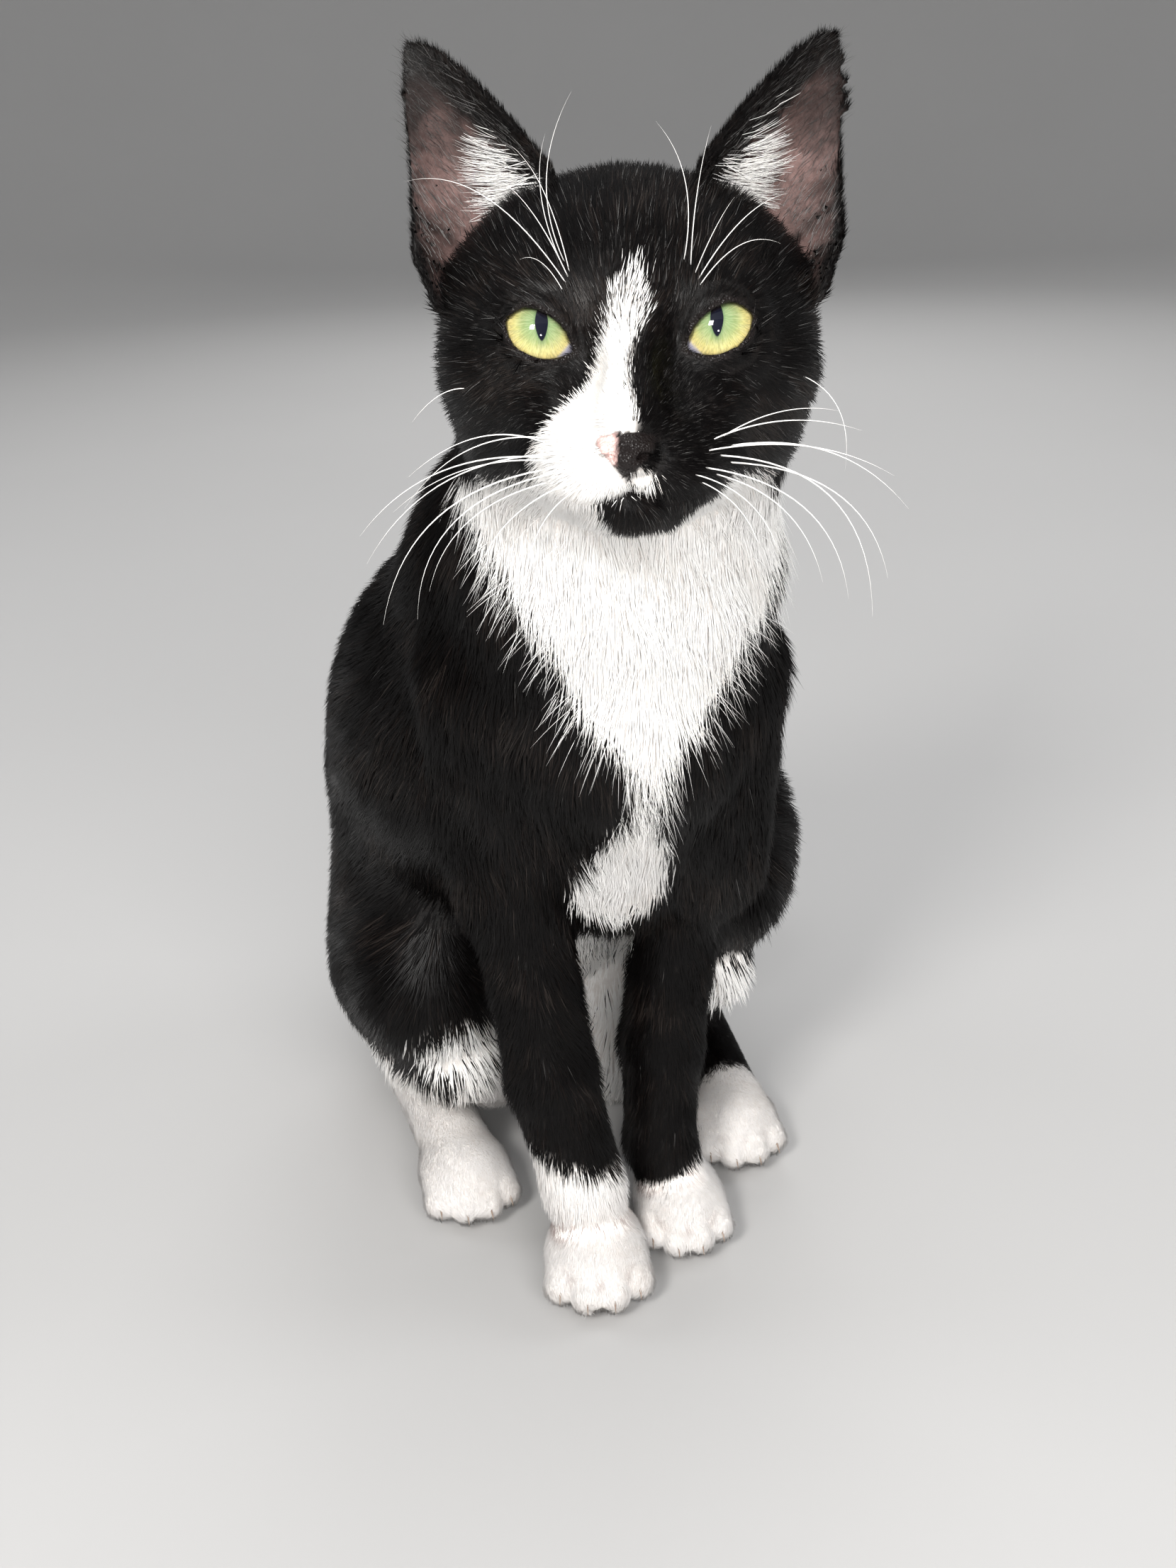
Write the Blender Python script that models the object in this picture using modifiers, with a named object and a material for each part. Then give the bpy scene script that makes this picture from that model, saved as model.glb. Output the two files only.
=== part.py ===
"""A sitting tuxedo cat, life size, in one pose.

The whole cat is modelled as one blended body and then parted by thin straight cuts into the
pieces a person would name. The eyeballs are separate and sit in their sockets behind the lids.
Run it with: blender --background --python part.py
"""
import math

import bmesh
import bpy
import numpy as np
from mathutils import Matrix, Vector

MM = 0.001
GAP = 0.3                 # clearance left by every cut, mm
HEAD_VOXEL = 1.4          # cell of the remesh of the head and ears, mm
BODY_VOXEL = 2.4          # cell of the remesh of the body, legs and tail, mm
HEAD_FACES = 2530         # triangles kept on the head, ears and neck
BODY_FACES = 2660         # triangles kept on the rest
FLOOR_SNAP = 0.2          # what lies this close to the floor is laid on it, mm

# ---------------------------------------------------------------- the cat's form, in millimetres
# Every mass of the body is a named ellipsoid or a tapered limb. They are blended into each other
# with soft fillets. The cat faces -Y, its left side is +X, and the floor is z = 0.
F32 = np.float32


def vec(*a):
    return np.array(a, float)


def turn(axis, deg):
    c, s = math.cos(math.radians(deg)), math.sin(math.radians(deg))
    return np.array({"x": [[1, 0, 0], [0, c, -s], [0, s, c]],
                     "y": [[c, 0, s], [0, 1, 0], [-s, 0, c]],
                     "z": [[c, -s, 0], [s, c, 0], [0, 0, 1]]}[axis], float)


def smooth_min(a, b, k):
    h = np.maximum(k - np.abs(a - b), 0) / k
    return np.minimum(a, b) - h * h * h * (k / 6.0)


def smooth_max(a, b, k):
    return -smooth_min(-a, -b, k)


class Ball:
    """an ellipsoid mass: centre, three radii, blend with what it grows from, and a turn"""

    def __init__(self, centre, radii, blend=0.0, rot=None):
        self.c, self.r, self.k = np.array(centre, float), np.array(radii, float), blend
        self.rot = np.eye(3) if rot is None else rot

    def field(self, p):
        q = (p - self.c.astype(F32)) @ self.rot.astype(F32)
        r = self.r.astype(F32)
        k0 = np.sqrt(((q / r) ** 2).sum(-1))
        k1 = np.sqrt(((q / (r * r)) ** 2).sum(-1))
        return k0 * (k0 - 1) / np.maximum(k1, 1e-9)


class Limb:
    """a round tapered limb between two joints"""

    def __init__(self, a, b, ra, rb, blend=0.0):
        self.a, self.b, self.ra, self.rb, self.k = np.array(a, float), np.array(b, float), ra, rb, blend

    def field(self, p):
        a, ba = self.a.astype(F32), (self.b - self.a).astype(F32)
        l2 = float(ba @ ba)
        rr = self.ra - self.rb
        a2, il2 = l2 - rr * rr, 1.0 / l2
        pa = p - a
        y = pa @ ba
        z = y - l2
        x2 = ((pa * l2 - ba * y[..., None]) ** 2).sum(-1)
        y2, z2 = y * y * l2, z * z * l2
        k = np.sign(rr) * rr * rr * x2
        d3 = (np.sqrt(x2 * a2 * il2) + y * rr) * il2 - self.ra
        d1 = np.sqrt(x2 + z2) * il2 - self.rb
        d2 = np.sqrt(x2 + y2) * il2 - self.ra
        return np.where(np.sign(z) * a2 * z2 > k, d1, np.where(np.sign(y) * a2 * y2 < k, d2, d3))


def blended(p, masses):
    d = None
    for m in masses.values():
        v = m.field(p)
        d = v if d is None else smooth_min(d, v, m.k)
    return d


# ---- head: its own frame, origin midway between the corneas, x to the cat's left, y to the back
HEAD_AT = vec(15.05, -156.0, 342.4)
HEAD_YAW, HEAD_PITCH, HEAD_ROLL = -1.27, 9.3, 0.77
HEAD_ROT = turn("z", HEAD_YAW) @ turn("x", -HEAD_PITCH) @ turn("y", HEAD_ROLL)


def to_head(p):
    return (p - HEAD_AT.astype(F32)) @ HEAD_ROT.astype(F32)


def from_head(q):
    return HEAD_AT + np.asarray(q, float) @ HEAD_ROT.T


HEAD = {                                   # half of it; the other half is its mirror
    "cranium": Ball((0, 47, 9), (41.8, 42, 35)),
    "forehead": Ball((0, 26, 11), (27, 26, 26), 14),
    "temple": Ball((22, 34, 12), (21, 26, 24), 14),
    "ear_root": Ball((36, 44, 6), (15, 20, 20), 12),
    "brow": Ball((19.5, 19, 8), (17, 17, 15), 10),
    "cheek_bone": Ball((26.5, 34, -9), (25, 30, 24), 12),
    "jowl": Ball((24, 38, -26), (22, 26, 17), 12),
    "bridge": Limb((0, 10, 3), (0, -10, -21), 12.5, 8, 9),
    "under_eye": Ball((15, 8, -20), (14, 14, 14), 12),
    "whisker_pad": Ball((9.0, -4.5, -33), (13.5, 13, 10.5), 11, turn("z", 18)),
    "lip_corner": Ball((16.5, 9, -33), (13, 16, 11), 11),
    "chin": Ball((0, -4, -42.5), (10, 10.5, 7.5), 4),
    "jaw": Limb((7, 2, -41), (24, 40, -34), 9, 13, 8),
    "nose": Ball((0, -16.8, -28.9), (6.0, 4.2, 5.0), 3),
}
TEAR_HOLLOW = Ball((12.0, -7, -7), (5, 6, 8))
UPPER_LID = Ball((21.5, 9.0, 8.6), (12.5, 7, 5.0), 9, turn("y", -12))
LOWER_LID = Ball((23.5, 10.0, -9.4), (12, 7, 4.8), 8, turn("y", -17))
EYE_AT = vec(22.5, 9.8, -0.2)              # centre of the left eyeball
EYE_R = 10.6                               # radius of the eyeball
LID_T = 1.6                                # thickness of the lids over it
EYE_SLANT = 25.0                           # the opening rises this much towards the outer corner
EYE_HALF_W, EYE_UP, EYE_DOWN = 9.3, 5.6, 5.1


def lid_curve(u):
    """height of the upper and lower lid edge at u = -1.. 1 across the opening"""
    t = u - 0.15
    up = EYE_UP * (1 - np.where(t < 0, np.abs(t / 1.15) ** 2.25, np.abs(t / 0.85) ** 3.8))
    down = -EYE_DOWN * (1 - np.where(u < 0, np.abs(u) ** 2.2, np.abs(u) ** 3.1))
    return up, down


def half_head(p):
    m = to_head(p)
    m[:, 0] = np.sqrt(m[:, 0] ** 2 + 1.0)
    return m


def head_field(p):
    m = half_head(p)
    d = blended(m, HEAD)
    d = smooth_max(d, -TEAR_HOLLOW.field(m), 7)
    v = np.sqrt(((m - EYE_AT.astype(F32)) ** 2).sum(-1))
    d = smooth_min(d, v - (EYE_R + LID_T), 4)
    d = smooth_min(d, UPPER_LID.field(m), UPPER_LID.k)
    return smooth_min(d, LOWER_LID.field(m), LOWER_LID.k)


# ---- ears: a leaf curled into a cup, from its root up to its rounded tip
EAR_ROOT, EAR_TIP = vec(39, 33.5, 31.5), vec(55.5, 52, 76)
EAR_LEN = float(np.linalg.norm(EAR_TIP - EAR_ROOT))
EAR_OUTER_W, EAR_INNER_W = 21.7, 23.2      # half widths at the root
EAR_CUP = 16.0                             # depth of the cup at the root
EAR_T = 3.6                                # thickness with its short fur
EAR_AXIS = (EAR_TIP - EAR_ROOT) / EAR_LEN
EAR_OPEN = vec(0.30, -1, 0) - EAR_AXIS * float(vec(0.30, -1, 0) @ EAR_AXIS)
EAR_OPEN = EAR_OPEN / np.linalg.norm(EAR_OPEN)          # the way the cup opens
EAR_SIDE = np.cross(EAR_AXIS, EAR_OPEN)
EAR_SIDE = EAR_SIDE * (1 if EAR_SIDE[0] > 0 else -1)    # towards the outer edge


def ear_widths(u):
    c = 1 - np.clip(u, 0, 0.9995)
    return EAR_OUTER_W * c ** 0.527, EAR_INNER_W * c ** 0.66


def ear_depth(u, t):
    """how far the leaf lies behind its rim plane"""
    c = np.clip(1 - u, 0, 1.3)
    return -EAR_CUP * c ** 1.15 * (1 - t * t) - 1.6 * 4 * np.clip(u, 0, 1) * np.clip(1 - u, 0, 1)


def ear_local(m):
    q = m - EAR_ROOT.astype(F32)
    return q @ EAR_AXIS.astype(F32), q @ EAR_OPEN.astype(F32), q @ EAR_SIDE.astype(F32)


def ear_field(p, thick=EAR_T, wider=0.0):
    m = to_head(p)
    m[:, 0] = np.abs(m[:, 0])
    s, n, t = ear_local(m)
    u = s / EAR_LEN
    wo, wi = ear_widths(u)
    w = np.maximum(np.where(t > 0, wo, wi), 0.6)
    tt = np.clip(t / np.maximum(w, 3), -1.3, 1.3)
    w = w + wider
    d1 = (np.abs(n - ear_depth(u, tt)) - thick / 2) * 0.75
    d2 = (np.abs(t) - w) * 0.85
    d = smooth_max(d1, d2, 2.4)
    d = smooth_max(d, s - EAR_LEN, 2.4)
    return smooth_max(d, -s - 19, 2.0)


# ---- neck and trunk, from the throat down the chest and back along the spine
TRUNK = {
    "throat": Ball((14.5, -98, 302), (47.5, 40, 38)),
    "neck": Ball((12.5, -88, 266), (49.5, 42, 46), 18),
    "breast": Ball((11, -76, 226), (48, 46, 50), 24),
    "brisket": Limb((11, -84, 205), (8, -56, 150), 34, 26, 22),
    "nape": Limb((13, -94, 318), (4, -56, 268), 33, 42, 20),
    "withers": Ball((-6, -40, 248), (50, 50, 50), 32),
    "ribs": Ball((-20, -8, 187), (69, 66, 73), 42),
    "belly": Ball((-28, 42, 142), (73, 74, 88), 48),
    "rump": Ball((-35, 84, 68), (70, 50, 76), 44),
    "groin": Ball((4, 42, 38), (36, 40, 42), 22),
    "tail_root": Limb((-37, 104, 60), (-43, 132, 30), 25, 16.5, 18),
}


# ---- legs. A paw is a rounded block with four toes
def paw_masses(toe, heading, length, width, height):
    """toe: where the middle toes end on the floor, as (x, y)"""
    h = vec(heading[0], heading[1], 0)
    h = h / np.linalg.norm(h)
    side = vec(-h[1], h[0], 0)
    rot = np.stack([side, -h, vec(0, 0, 1)], 1)

    def at(x, y, z):
        return vec(toe[0], toe[1], 0) + rot @ vec(x, y, z)

    out = {"pad": Ball(at(0, length * 0.58, height * 0.48), (width * 0.48, length * 0.48, height * 0.60), 7, rot)}
    toe_r = width * 0.168
    for i, x in enumerate((-0.345, -0.12, 0.12, 0.345)):
        back = 0.0 if i in (1, 2) else 0.13
        out["toe%d" % i] = Limb(at(x * width * 0.86, length * 0.55, height * 0.56),
                                at(x * width, length * back + toe_r, height * 0.38), toe_r, toe_r * 1.08, 4.6)
    return out


FORE_R = {
    "upper_arm": Limb((-24, -70, 222), (-27, -52, 142), 30, 22),
    "forearm": Limb((-26, -54, 140), (-17, -74, 76), 18.5, 16, 14),
    "shin": Limb((-17, -74, 76), (-8, -81, 36), 16, 14.5, 8),
    "wrist": Limb((-8, -81, 36), (-5, -84, 20), 14, 13.5, 7),
}
FORE_L = {
    "upper_arm": Limb((38.5, -70, 222), (39, -47, 146), 27.5, 23),
    "forearm": Limb((31, -44, 136), (22.5, -48, 72), 18, 15, 14),
    "shin": Limb((22.5, -48, 72), (20.8, -54, 34), 15, 12.8, 8),
    "wrist": Limb((20.8, -54, 34), (24.5, -56, 20), 12.8, 13, 7),
}
HIND_R = {
    "thigh": Ball((-66, 16, 92), (35, 62, 57), 0, turn("z", 12)),
    "ham": Ball((-68, 52, 74), (31, 46, 46), 30, turn("z", 12)),
    "knee": Limb((-62, -30, 88), (-71, 22, 70), 25, 31, 22),
    "inner_shank": Limb((-54, -28, 60), (-43, -8, 39), 19, 14.5, 12),
    "shank": Limb((-66, -16, 54), (-82, 50, 26), 17, 13, 16),
    "metatarsus": Limb((-85, 62, 15), (-58, -20, 14), 13, 13.5, 10),
}
HIND_L = {
    "thigh": Ball((37, 12, 130), (39.5, 54, 43), 0, turn("z", 12)),
    "ham": Ball((26, 50, 76), (32, 46, 46), 30, turn("z", 12)),
    "knee": Limb((47, -26, 122), (42, 24, 98), 21, 26, 20),
    "shank": Limb((43, -16, 86), (37, 60, 29), 16, 13, 16),
    "metatarsus": Limb((36, 86, 15), (50, 4, 14), 13, 13, 10),
}
PAWS = {
    "fore_r": paw_masses((-3, -116), (0.04, -1), 47, 37.5, 25),
    "fore_l": paw_masses((29.5, -86.5), (0.10, -1), 46, 34.5, 24),
    "hind_r": paw_masses((-46.5, -62), (0.27, -1), 46, 36, 24),
    "hind_l": paw_masses((55, -34.5), (0.18, -1), 45, 36, 24),
}

# ---- tail: laid on the floor behind the rump in one open hook
TAIL_PATH = [(-43, 132, 32), (-47, 148, 18.5), (-43, 171, 13.6), (-22, 190, 12.8), (8, 198, 12.3),
             (34, 193, 11.8), (53, 177, 11.3), (60, 154, 10.5), (54, 133, 9.2)]


def tail_axis(n=34):
    """a smooth curve through the tail's bends, with its radius"""
    c = np.array(TAIL_PATH, float)
    c = np.vstack([2 * c[0] - c[1], c, 2 * c[-1] - c[-2]])
    out = []
    for i in range(n):
        t = i / (n - 1) * (len(c) - 3)
        j = min(int(t), len(c) - 4)
        t -= j
        p0, p1, p2, p3 = c[j], c[j + 1], c[j + 2], c[j + 3]
        out.append(0.5 * ((2 * p1) + (p2 - p0) * t + (2 * p0 - 5 * p1 + 4 * p2 - p3) * t * t
                          + (3 * p1 - p0 - 3 * p2 + p3) * t ** 3))
    out = np.array(out)
    f = np.linspace(0, 1, n)
    rad = 15.5 - 5.2 * np.clip(f / 0.35, 0, 1) ** 0.7 * 0.55 - 3.4 * f ** 1.6
    return out, np.minimum(rad, out[:, 2] + 0.4)


TAIL = {}
_axis, _rad = tail_axis(18)
for _i in range(len(_axis) - 1):
    TAIL["tail%02d" % _i] = Limb(_axis[_i], _axis[_i + 1], float(_rad[_i]), float(_rad[_i + 1]), 0.6)


def leg_field(p, limb, paw):
    masses = dict(limb)
    masses.update(paw)
    return blended(p, masses)


def body_field(p):
    low = np.clip((p[:, 2] - 40) / 70, 0, 1)            # the feet stay apart, the thighs melt in
    d = blended(p, TRUNK)
    d = smooth_min(d, head_field(p), 14)
    d = smooth_min(d, leg_field(p, HIND_R, PAWS["hind_r"]), 6 + 12 * low)
    d = smooth_min(d, leg_field(p, HIND_L, PAWS["hind_l"]), 6 + 12 * low)
    d = smooth_min(d, leg_field(p, FORE_R, PAWS["fore_r"]), 1 + 12 * low)
    d = smooth_min(d, leg_field(p, FORE_L, PAWS["fore_l"]), 1 + 12 * low)
    return smooth_min(d, blended(p, TAIL), 8)


def cat_field(p):
    """distance to the outside of the coat: negative inside"""
    return smooth_max(smooth_min(body_field(p), ear_field(p), 5), -p[:, 2], 1.0)


def normals(fn, p, e=0.3):
    g = np.stack([fn(p + np.array(d, F32) * e) - fn(p - np.array(d, F32) * e)
                  for d in ((1, 0, 0), (0, 1, 0), (0, 0, 1))], -1) / (2 * e)
    return g


def settle(fn, p, rounds=3, level=0.0, e=0.3):
    """moves points along the gradient until they lie on the surface fn = level"""
    p = p.astype(F32)
    for _ in range(rounds):
        g = normals(fn, p, e)
        p = p - g * ((fn(p) - level) / np.maximum((g * g).sum(-1), 0.08))[:, None]
    return p


# ---------------------------------------------------------------- scene and helpers
for old in list(bpy.data.objects):
    bpy.data.objects.remove(old, do_unlink=True)
for old in list(bpy.data.meshes):
    bpy.data.meshes.remove(old)

CAT = bpy.data.collections.new("sitting_cat")
CUTTERS = bpy.data.collections.new("cutters")
bpy.context.scene.collection.children.link(CAT)
bpy.context.scene.collection.children.link(CUTTERS)

BLACK, WHITE = (0.010, 0.009, 0.009), (0.86, 0.84, 0.81)


def material(name, colour, rough, coat=0.0):
    m = bpy.data.materials.new(name)
    m.use_nodes = True
    b = m.node_tree.nodes["Principled BSDF"]
    b.inputs["Base Color"].default_value = (*colour, 1)
    b.inputs["Roughness"].default_value = rough
    b.inputs["Metallic"].default_value = 0.0
    b.inputs["Coat Weight"].default_value = coat
    m.diffuse_color = (*colour, 1)
    return m


def put(name, mesh, collection):
    ob = bpy.data.objects.new(name, mesh)
    collection.objects.link(ob)
    return ob


def from_bmesh(name, bm, collection):
    me = bpy.data.meshes.new(name)
    bm.to_mesh(me)
    bm.free()
    return put(name, me, collection)


def drop(ob):
    me = ob.data
    bpy.data.objects.remove(ob, do_unlink=True)
    bpy.data.meshes.remove(me)


def applied(ob):
    """the object with its modifiers turned into mesh"""
    dg = bpy.context.evaluated_depsgraph_get()
    dg.update()
    me = bpy.data.meshes.new_from_object(ob.evaluated_get(dg))
    ob.modifiers.clear()
    old = ob.data
    ob.data = me
    bpy.data.meshes.remove(old)
    return ob


# ---------------------------------------------------------------- masses as Blender primitives
def frame4(rot, at):
    m = Matrix(np.asarray(rot).tolist()).to_4x4()
    m.translation = Vector((float(at[0]), float(at[1]), float(at[2])))
    return m


def add_ball(bm, mass, world=Matrix.Identity(4)):
    m = world @ frame4(mass.rot, mass.c) @ Matrix.Diagonal((*[float(r) for r in mass.r], 1))
    bmesh.ops.create_uvsphere(bm, u_segments=32, v_segments=20, radius=1.0, matrix=m)


def add_limb(bm, mass, world=Matrix.Identity(4)):
    a, b = Vector(mass.a.tolist()), Vector(mass.b.tolist())
    for at, r in ((a, mass.ra), (b, mass.rb)):
        bmesh.ops.create_uvsphere(bm, u_segments=24, v_segments=14, radius=r, matrix=world @ Matrix.Translation(at))
    d = b - a
    m = world @ Matrix.Translation((a + b) / 2) @ d.to_track_quat("Z", "Y").to_matrix().to_4x4()
    bmesh.ops.create_cone(bm, cap_ends=True, segments=24, radius1=mass.ra, radius2=mass.rb, depth=d.length, matrix=m)


def add_mass(bm, mass, world=Matrix.Identity(4)):
    (add_ball if isinstance(mass, Ball) else add_limb)(bm, mass, world)


HEAD_WORLD = frame4(HEAD_ROT, HEAD_AT)
MIRROR = Matrix.Diagonal((-1, 1, 1, 1))


def add_mirrored(bm, masses):
    """the masses on the cat's left and their mirror images, with faces pointing out"""
    for side in (1, -1):
        half = bmesh.new()
        for mass in masses:
            add_mass(half, mass, HEAD_WORLD @ (MIRROR if side < 0 else Matrix.Identity(4)))
        if side < 0:
            bmesh.ops.reverse_faces(half, faces=half.faces)
        me = bpy.data.meshes.new("half")
        half.to_mesh(me)
        half.free()
        bm.from_mesh(me)
        bpy.data.meshes.remove(me)


def ear_shell(side):
    """one ear as a thick leaf: a grid bent into the cup, then thickened"""
    bm = bmesh.new()
    nu, nt = 30, 18
    bmesh.ops.create_grid(bm, x_segments=nu, y_segments=nt, size=1.0)
    for v in bm.verts:
        u = -0.22 + (v.co.x + 1) / 2 * 1.19
        t = v.co.y
        wo, wi = ear_widths(np.float64(u))
        w = float(wo if t > 0 else wi)
        p = (EAR_ROOT + EAR_AXIS * (u * EAR_LEN) + EAR_SIDE * (t * w)
             + EAR_OPEN * float(ear_depth(np.float64(u), np.float64(t))))
        v.co = Vector((float(side * p[0]), float(p[1]), float(p[2])))
    ob = from_bmesh("ear_leaf", bm, CUTTERS)
    ob.data.transform(HEAD_WORLD)
    so = ob.modifiers.new("thickness", "SOLIDIFY")
    so.thickness = EAR_T
    so.offset = 0.0
    return applied(ob)


def largest(ob):
    """keeps the biggest body of a cut piece"""
    bm = bmesh.new()
    bm.from_mesh(ob.data)
    left, best = set(bm.verts), []
    while left:
        seed = left.pop()
        group, stack = [seed], [seed]
        while stack:
            for e in stack.pop().link_edges:
                for v in e.verts:
                    if v in left:
                        left.remove(v)
                        group.append(v)
                        stack.append(v)
        if len(group) > len(best):
            best = group
    keep = set(best)
    bmesh.ops.delete(bm, geom=[v for v in bm.verts if v not in keep], context="VERTS")
    bm.to_mesh(ob.data)
    bm.free()
    return ob


def coordinates(ob):
    co = np.empty(len(ob.data.vertices) * 3, np.float32)
    ob.data.vertices.foreach_get("co", co)
    return co.reshape(-1, 3)


def remesh(ob, voxel):
    rm = ob.modifiers.new("weld", "REMESH")
    rm.mode = "VOXEL"
    rm.voxel_size = voxel
    rm.adaptivity = 0.0
    return largest(applied(ob))


def mass_mesh(name, add, voxel, plane_at, plane_out, extra=()):
    """joins the masses, welds them with a voxel remesh, keeps what lies behind the plane and lets
    the skin settle on the blended form; a second remesh clears the folds that the first settling leaves"""
    bm = bmesh.new()
    add(bm)
    for ob in extra:
        bm.from_mesh(ob.data)
        drop(ob)
    bmesh.ops.recalc_face_normals(bm, faces=bm.faces)
    ob = remesh(from_bmesh(name, bm, CUTTERS), voxel)
    bm = bmesh.new()
    bm.from_mesh(ob.data)
    bmesh.ops.bisect_plane(bm, geom=list(bm.verts) + list(bm.edges) + list(bm.faces), dist=1e-4,
                           plane_co=plane_at, plane_no=plane_out, clear_outer=True)
    bmesh.ops.holes_fill(bm, edges=[e for e in bm.edges if e.is_boundary], sides=0)
    bm.to_mesh(ob.data)
    bm.free()
    largest(ob)

    def inside(co, margin):
        return (co - np.array(plane_at, np.float32)) @ np.array(plane_out, np.float32) < -margin

    for rounds in (3, 2):
        p = coordinates(ob)
        free = inside(p, 0.05 if rounds == 3 else 2.5 * voxel)
        p[free] = settle(cat_field, p[free], rounds)
        ob.data.vertices.foreach_set("co", p.ravel())
        if rounds == 3:
            remesh(ob, voxel)
    for _ in range(2):
        bm = bmesh.new()
        bm.from_mesh(ob.data)
        bm.verts.ensure_lookup_table()
        bmesh.ops.smooth_vert(bm, verts=[bm.verts[i] for i in np.flatnonzero(free)], factor=0.5,
                              use_axis_x=True, use_axis_y=True, use_axis_z=True)
        bm.to_mesh(ob.data)
        bm.free()
        p = coordinates(ob)
        p[free] = settle(cat_field, p[free], 1)
        ob.data.vertices.foreach_set("co", p.ravel())
    p[:, 2] = np.where(p[:, 2] < FLOOR_SNAP, 0.0, p[:, 2])
    ob.data.vertices.foreach_set("co", p.ravel())
    return ob


def thin_out(ob, faces):
    """a lighter mesh of the same form"""
    tri = sum(len(f.vertices) - 2 for f in ob.data.polygons)
    de = ob.modifiers.new("lighter", "DECIMATE")
    de.ratio = min(1.0, faces / tri)
    de.use_collapse_triangulate = True
    applied(ob)
    for v in ob.data.vertices:
        if v.co.z < FLOOR_SNAP:
            v.co.z = 0.0
    return ob


# ---------------------------------------------------------------- cutting
def box(name, centre, half, rot=np.eye(3), grow=0.0):
    bm = bmesh.new()
    size = [2 * (h + grow) for h in half]
    bmesh.ops.create_cube(bm, size=1.0, matrix=frame4(rot, centre) @ Matrix.Diagonal((*size, 1)))
    ob = from_bmesh(name, bm, CUTTERS)
    ob.hide_render = True
    ob.display_type = "WIRE"
    return ob


def boolean(ob, cutter, operation):
    md = ob.modifiers.new(operation.lower(), "BOOLEAN")
    md.operation = operation
    md.solver = "EXACT"
    md.object = cutter
    return applied(ob)


def carve(rest, name, centre, half, rot=np.eye(3)):
    """takes the piece inside a box out of the rest, leaving a thin gap all round"""
    inner = box(name + "_box", centre, half, rot)
    outer = box(name + "_gap", centre, half, rot, GAP)
    piece = put(name, rest.data.copy(), CAT)
    largest(boolean(piece, inner, "INTERSECT"))
    largest(boolean(rest, outer, "DIFFERENCE"))
    drop(inner)
    drop(outer)
    return piece


def above(point, normal, depth, half_w):
    """a box whose bottom face lies on the plane through point with this normal"""
    n = np.array(normal, float)
    n = n / np.linalg.norm(n)
    x = np.cross([0, 1, 0], n)
    x = x / np.linalg.norm(x)
    rot = np.stack([x, np.cross(n, x), n], 1)
    return dict(centre=np.array(point, float) + n * depth, half=(half_w, half_w, depth), rot=rot)


def along(a, b, half_w, before=0.0, after=0.0, side=None):
    """a box round the line from a to b"""
    a, b = np.array(a, float), np.array(b, float)
    n = (b - a) / np.linalg.norm(b - a)
    x = np.cross(side if side is not None else [0, 1, 0], n)
    x = x / np.linalg.norm(x)
    rot = np.stack([x, np.cross(n, x), n], 1)
    a2, b2 = a - n * before, b + n * after
    hw = half_w if isinstance(half_w, tuple) else (half_w, half_w)
    return dict(centre=(a2 + b2) / 2, half=(hw[0], hw[1], np.linalg.norm(b2 - a2) / 2), rot=rot)


# ---------------------------------------------------------------- head, ears and eyes
NECK_CUT = dict(point=(15, -96, 309), normal=(0, -0.34, 0.94))
NAPE_CUT = dict(point=(5, -70, 262), normal=(0.12, -0.46, 0.88))


def fine_masses(bm):
    add_mirrored(bm, list(HEAD.values()) + [UPPER_LID, LOWER_LID, Ball(EYE_AT, [EYE_R + LID_T] * 3)])
    for mass in TRUNK.values():
        add_mass(bm, mass)


nape_out = np.array(NAPE_CUT["normal"]) / np.linalg.norm(NAPE_CUT["normal"])
nape_at = np.array(NAPE_CUT["point"], float)
head = mass_mesh("head_mass", fine_masses, HEAD_VOXEL, (nape_at - 8 * nape_out).tolist(),
                 (-nape_out).tolist(), [ear_shell(1), ear_shell(-1)])
thin_out(head, HEAD_FACES)
neck = put("neck", head.data.copy(), CAT)

cut = above(**NECK_CUT, depth=90, half_w=150)
upper = box("upper", cut["centre"], cut["half"], cut["rot"], GAP / 2)
largest(boolean(neck, upper, "DIFFERENCE"))
drop(upper)
cut2 = above(**NAPE_CUT, depth=90, half_w=150)
nape = box("nape", cut2["centre"], cut2["half"], cut2["rot"])
largest(boolean(neck, nape, "INTERSECT"))
drop(nape)
upper = box("upper", cut["centre"], cut["half"], cut["rot"], -GAP / 2)
largest(boolean(head, upper, "INTERSECT"))
drop(upper)


def head_box(lo, hi):
    lo, hi = np.array(lo, float), np.array(hi, float)
    return dict(centre=from_head((lo + hi) / 2), half=tuple((hi - lo) / 2), rot=HEAD_ROT)


# each ear is parted along its root, which slopes down from the crown to the temple
EAR_CUT_IN, EAR_CUT_OUT = vec(15.0, 38, 42.5), vec(56.5, 38, 14.0)


def ear_box(side):
    """a box standing on the root line of one ear and open to everything beyond it"""
    across = EAR_CUT_OUT - EAR_CUT_IN
    across = across / np.linalg.norm(across)
    back = vec(0, 1, 0)
    up = np.cross(across, back)
    up = up * (1 if up[2] > 0 else -1)
    rot = np.stack([across, back, up], 1)
    at = (EAR_CUT_IN + EAR_CUT_OUT) / 2 + up * 45
    if side < 0:
        m = np.diag([-1.0, 1, 1])
        at, rot = m @ at, m @ rot @ m
    return dict(centre=from_head(at), half=(46, 50, 45), rot=HEAD_ROT @ rot)


ear_left = carve(head, "ear_left", **ear_box(1))
ear_right = carve(head, "ear_right", **ear_box(-1))


def eye_sphere(name, side, radius, collection):
    bm = bmesh.new()
    spin = Matrix.Rotation(math.radians(90), 4, "X")
    bmesh.ops.create_uvsphere(bm, u_segments=16, v_segments=10, radius=radius, matrix=spin)
    ob = from_bmesh(name, bm, collection)
    ob.data.transform(HEAD_WORLD @ Matrix.Translation((side * EYE_AT[0], EYE_AT[1], EYE_AT[2])))
    return ob


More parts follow.
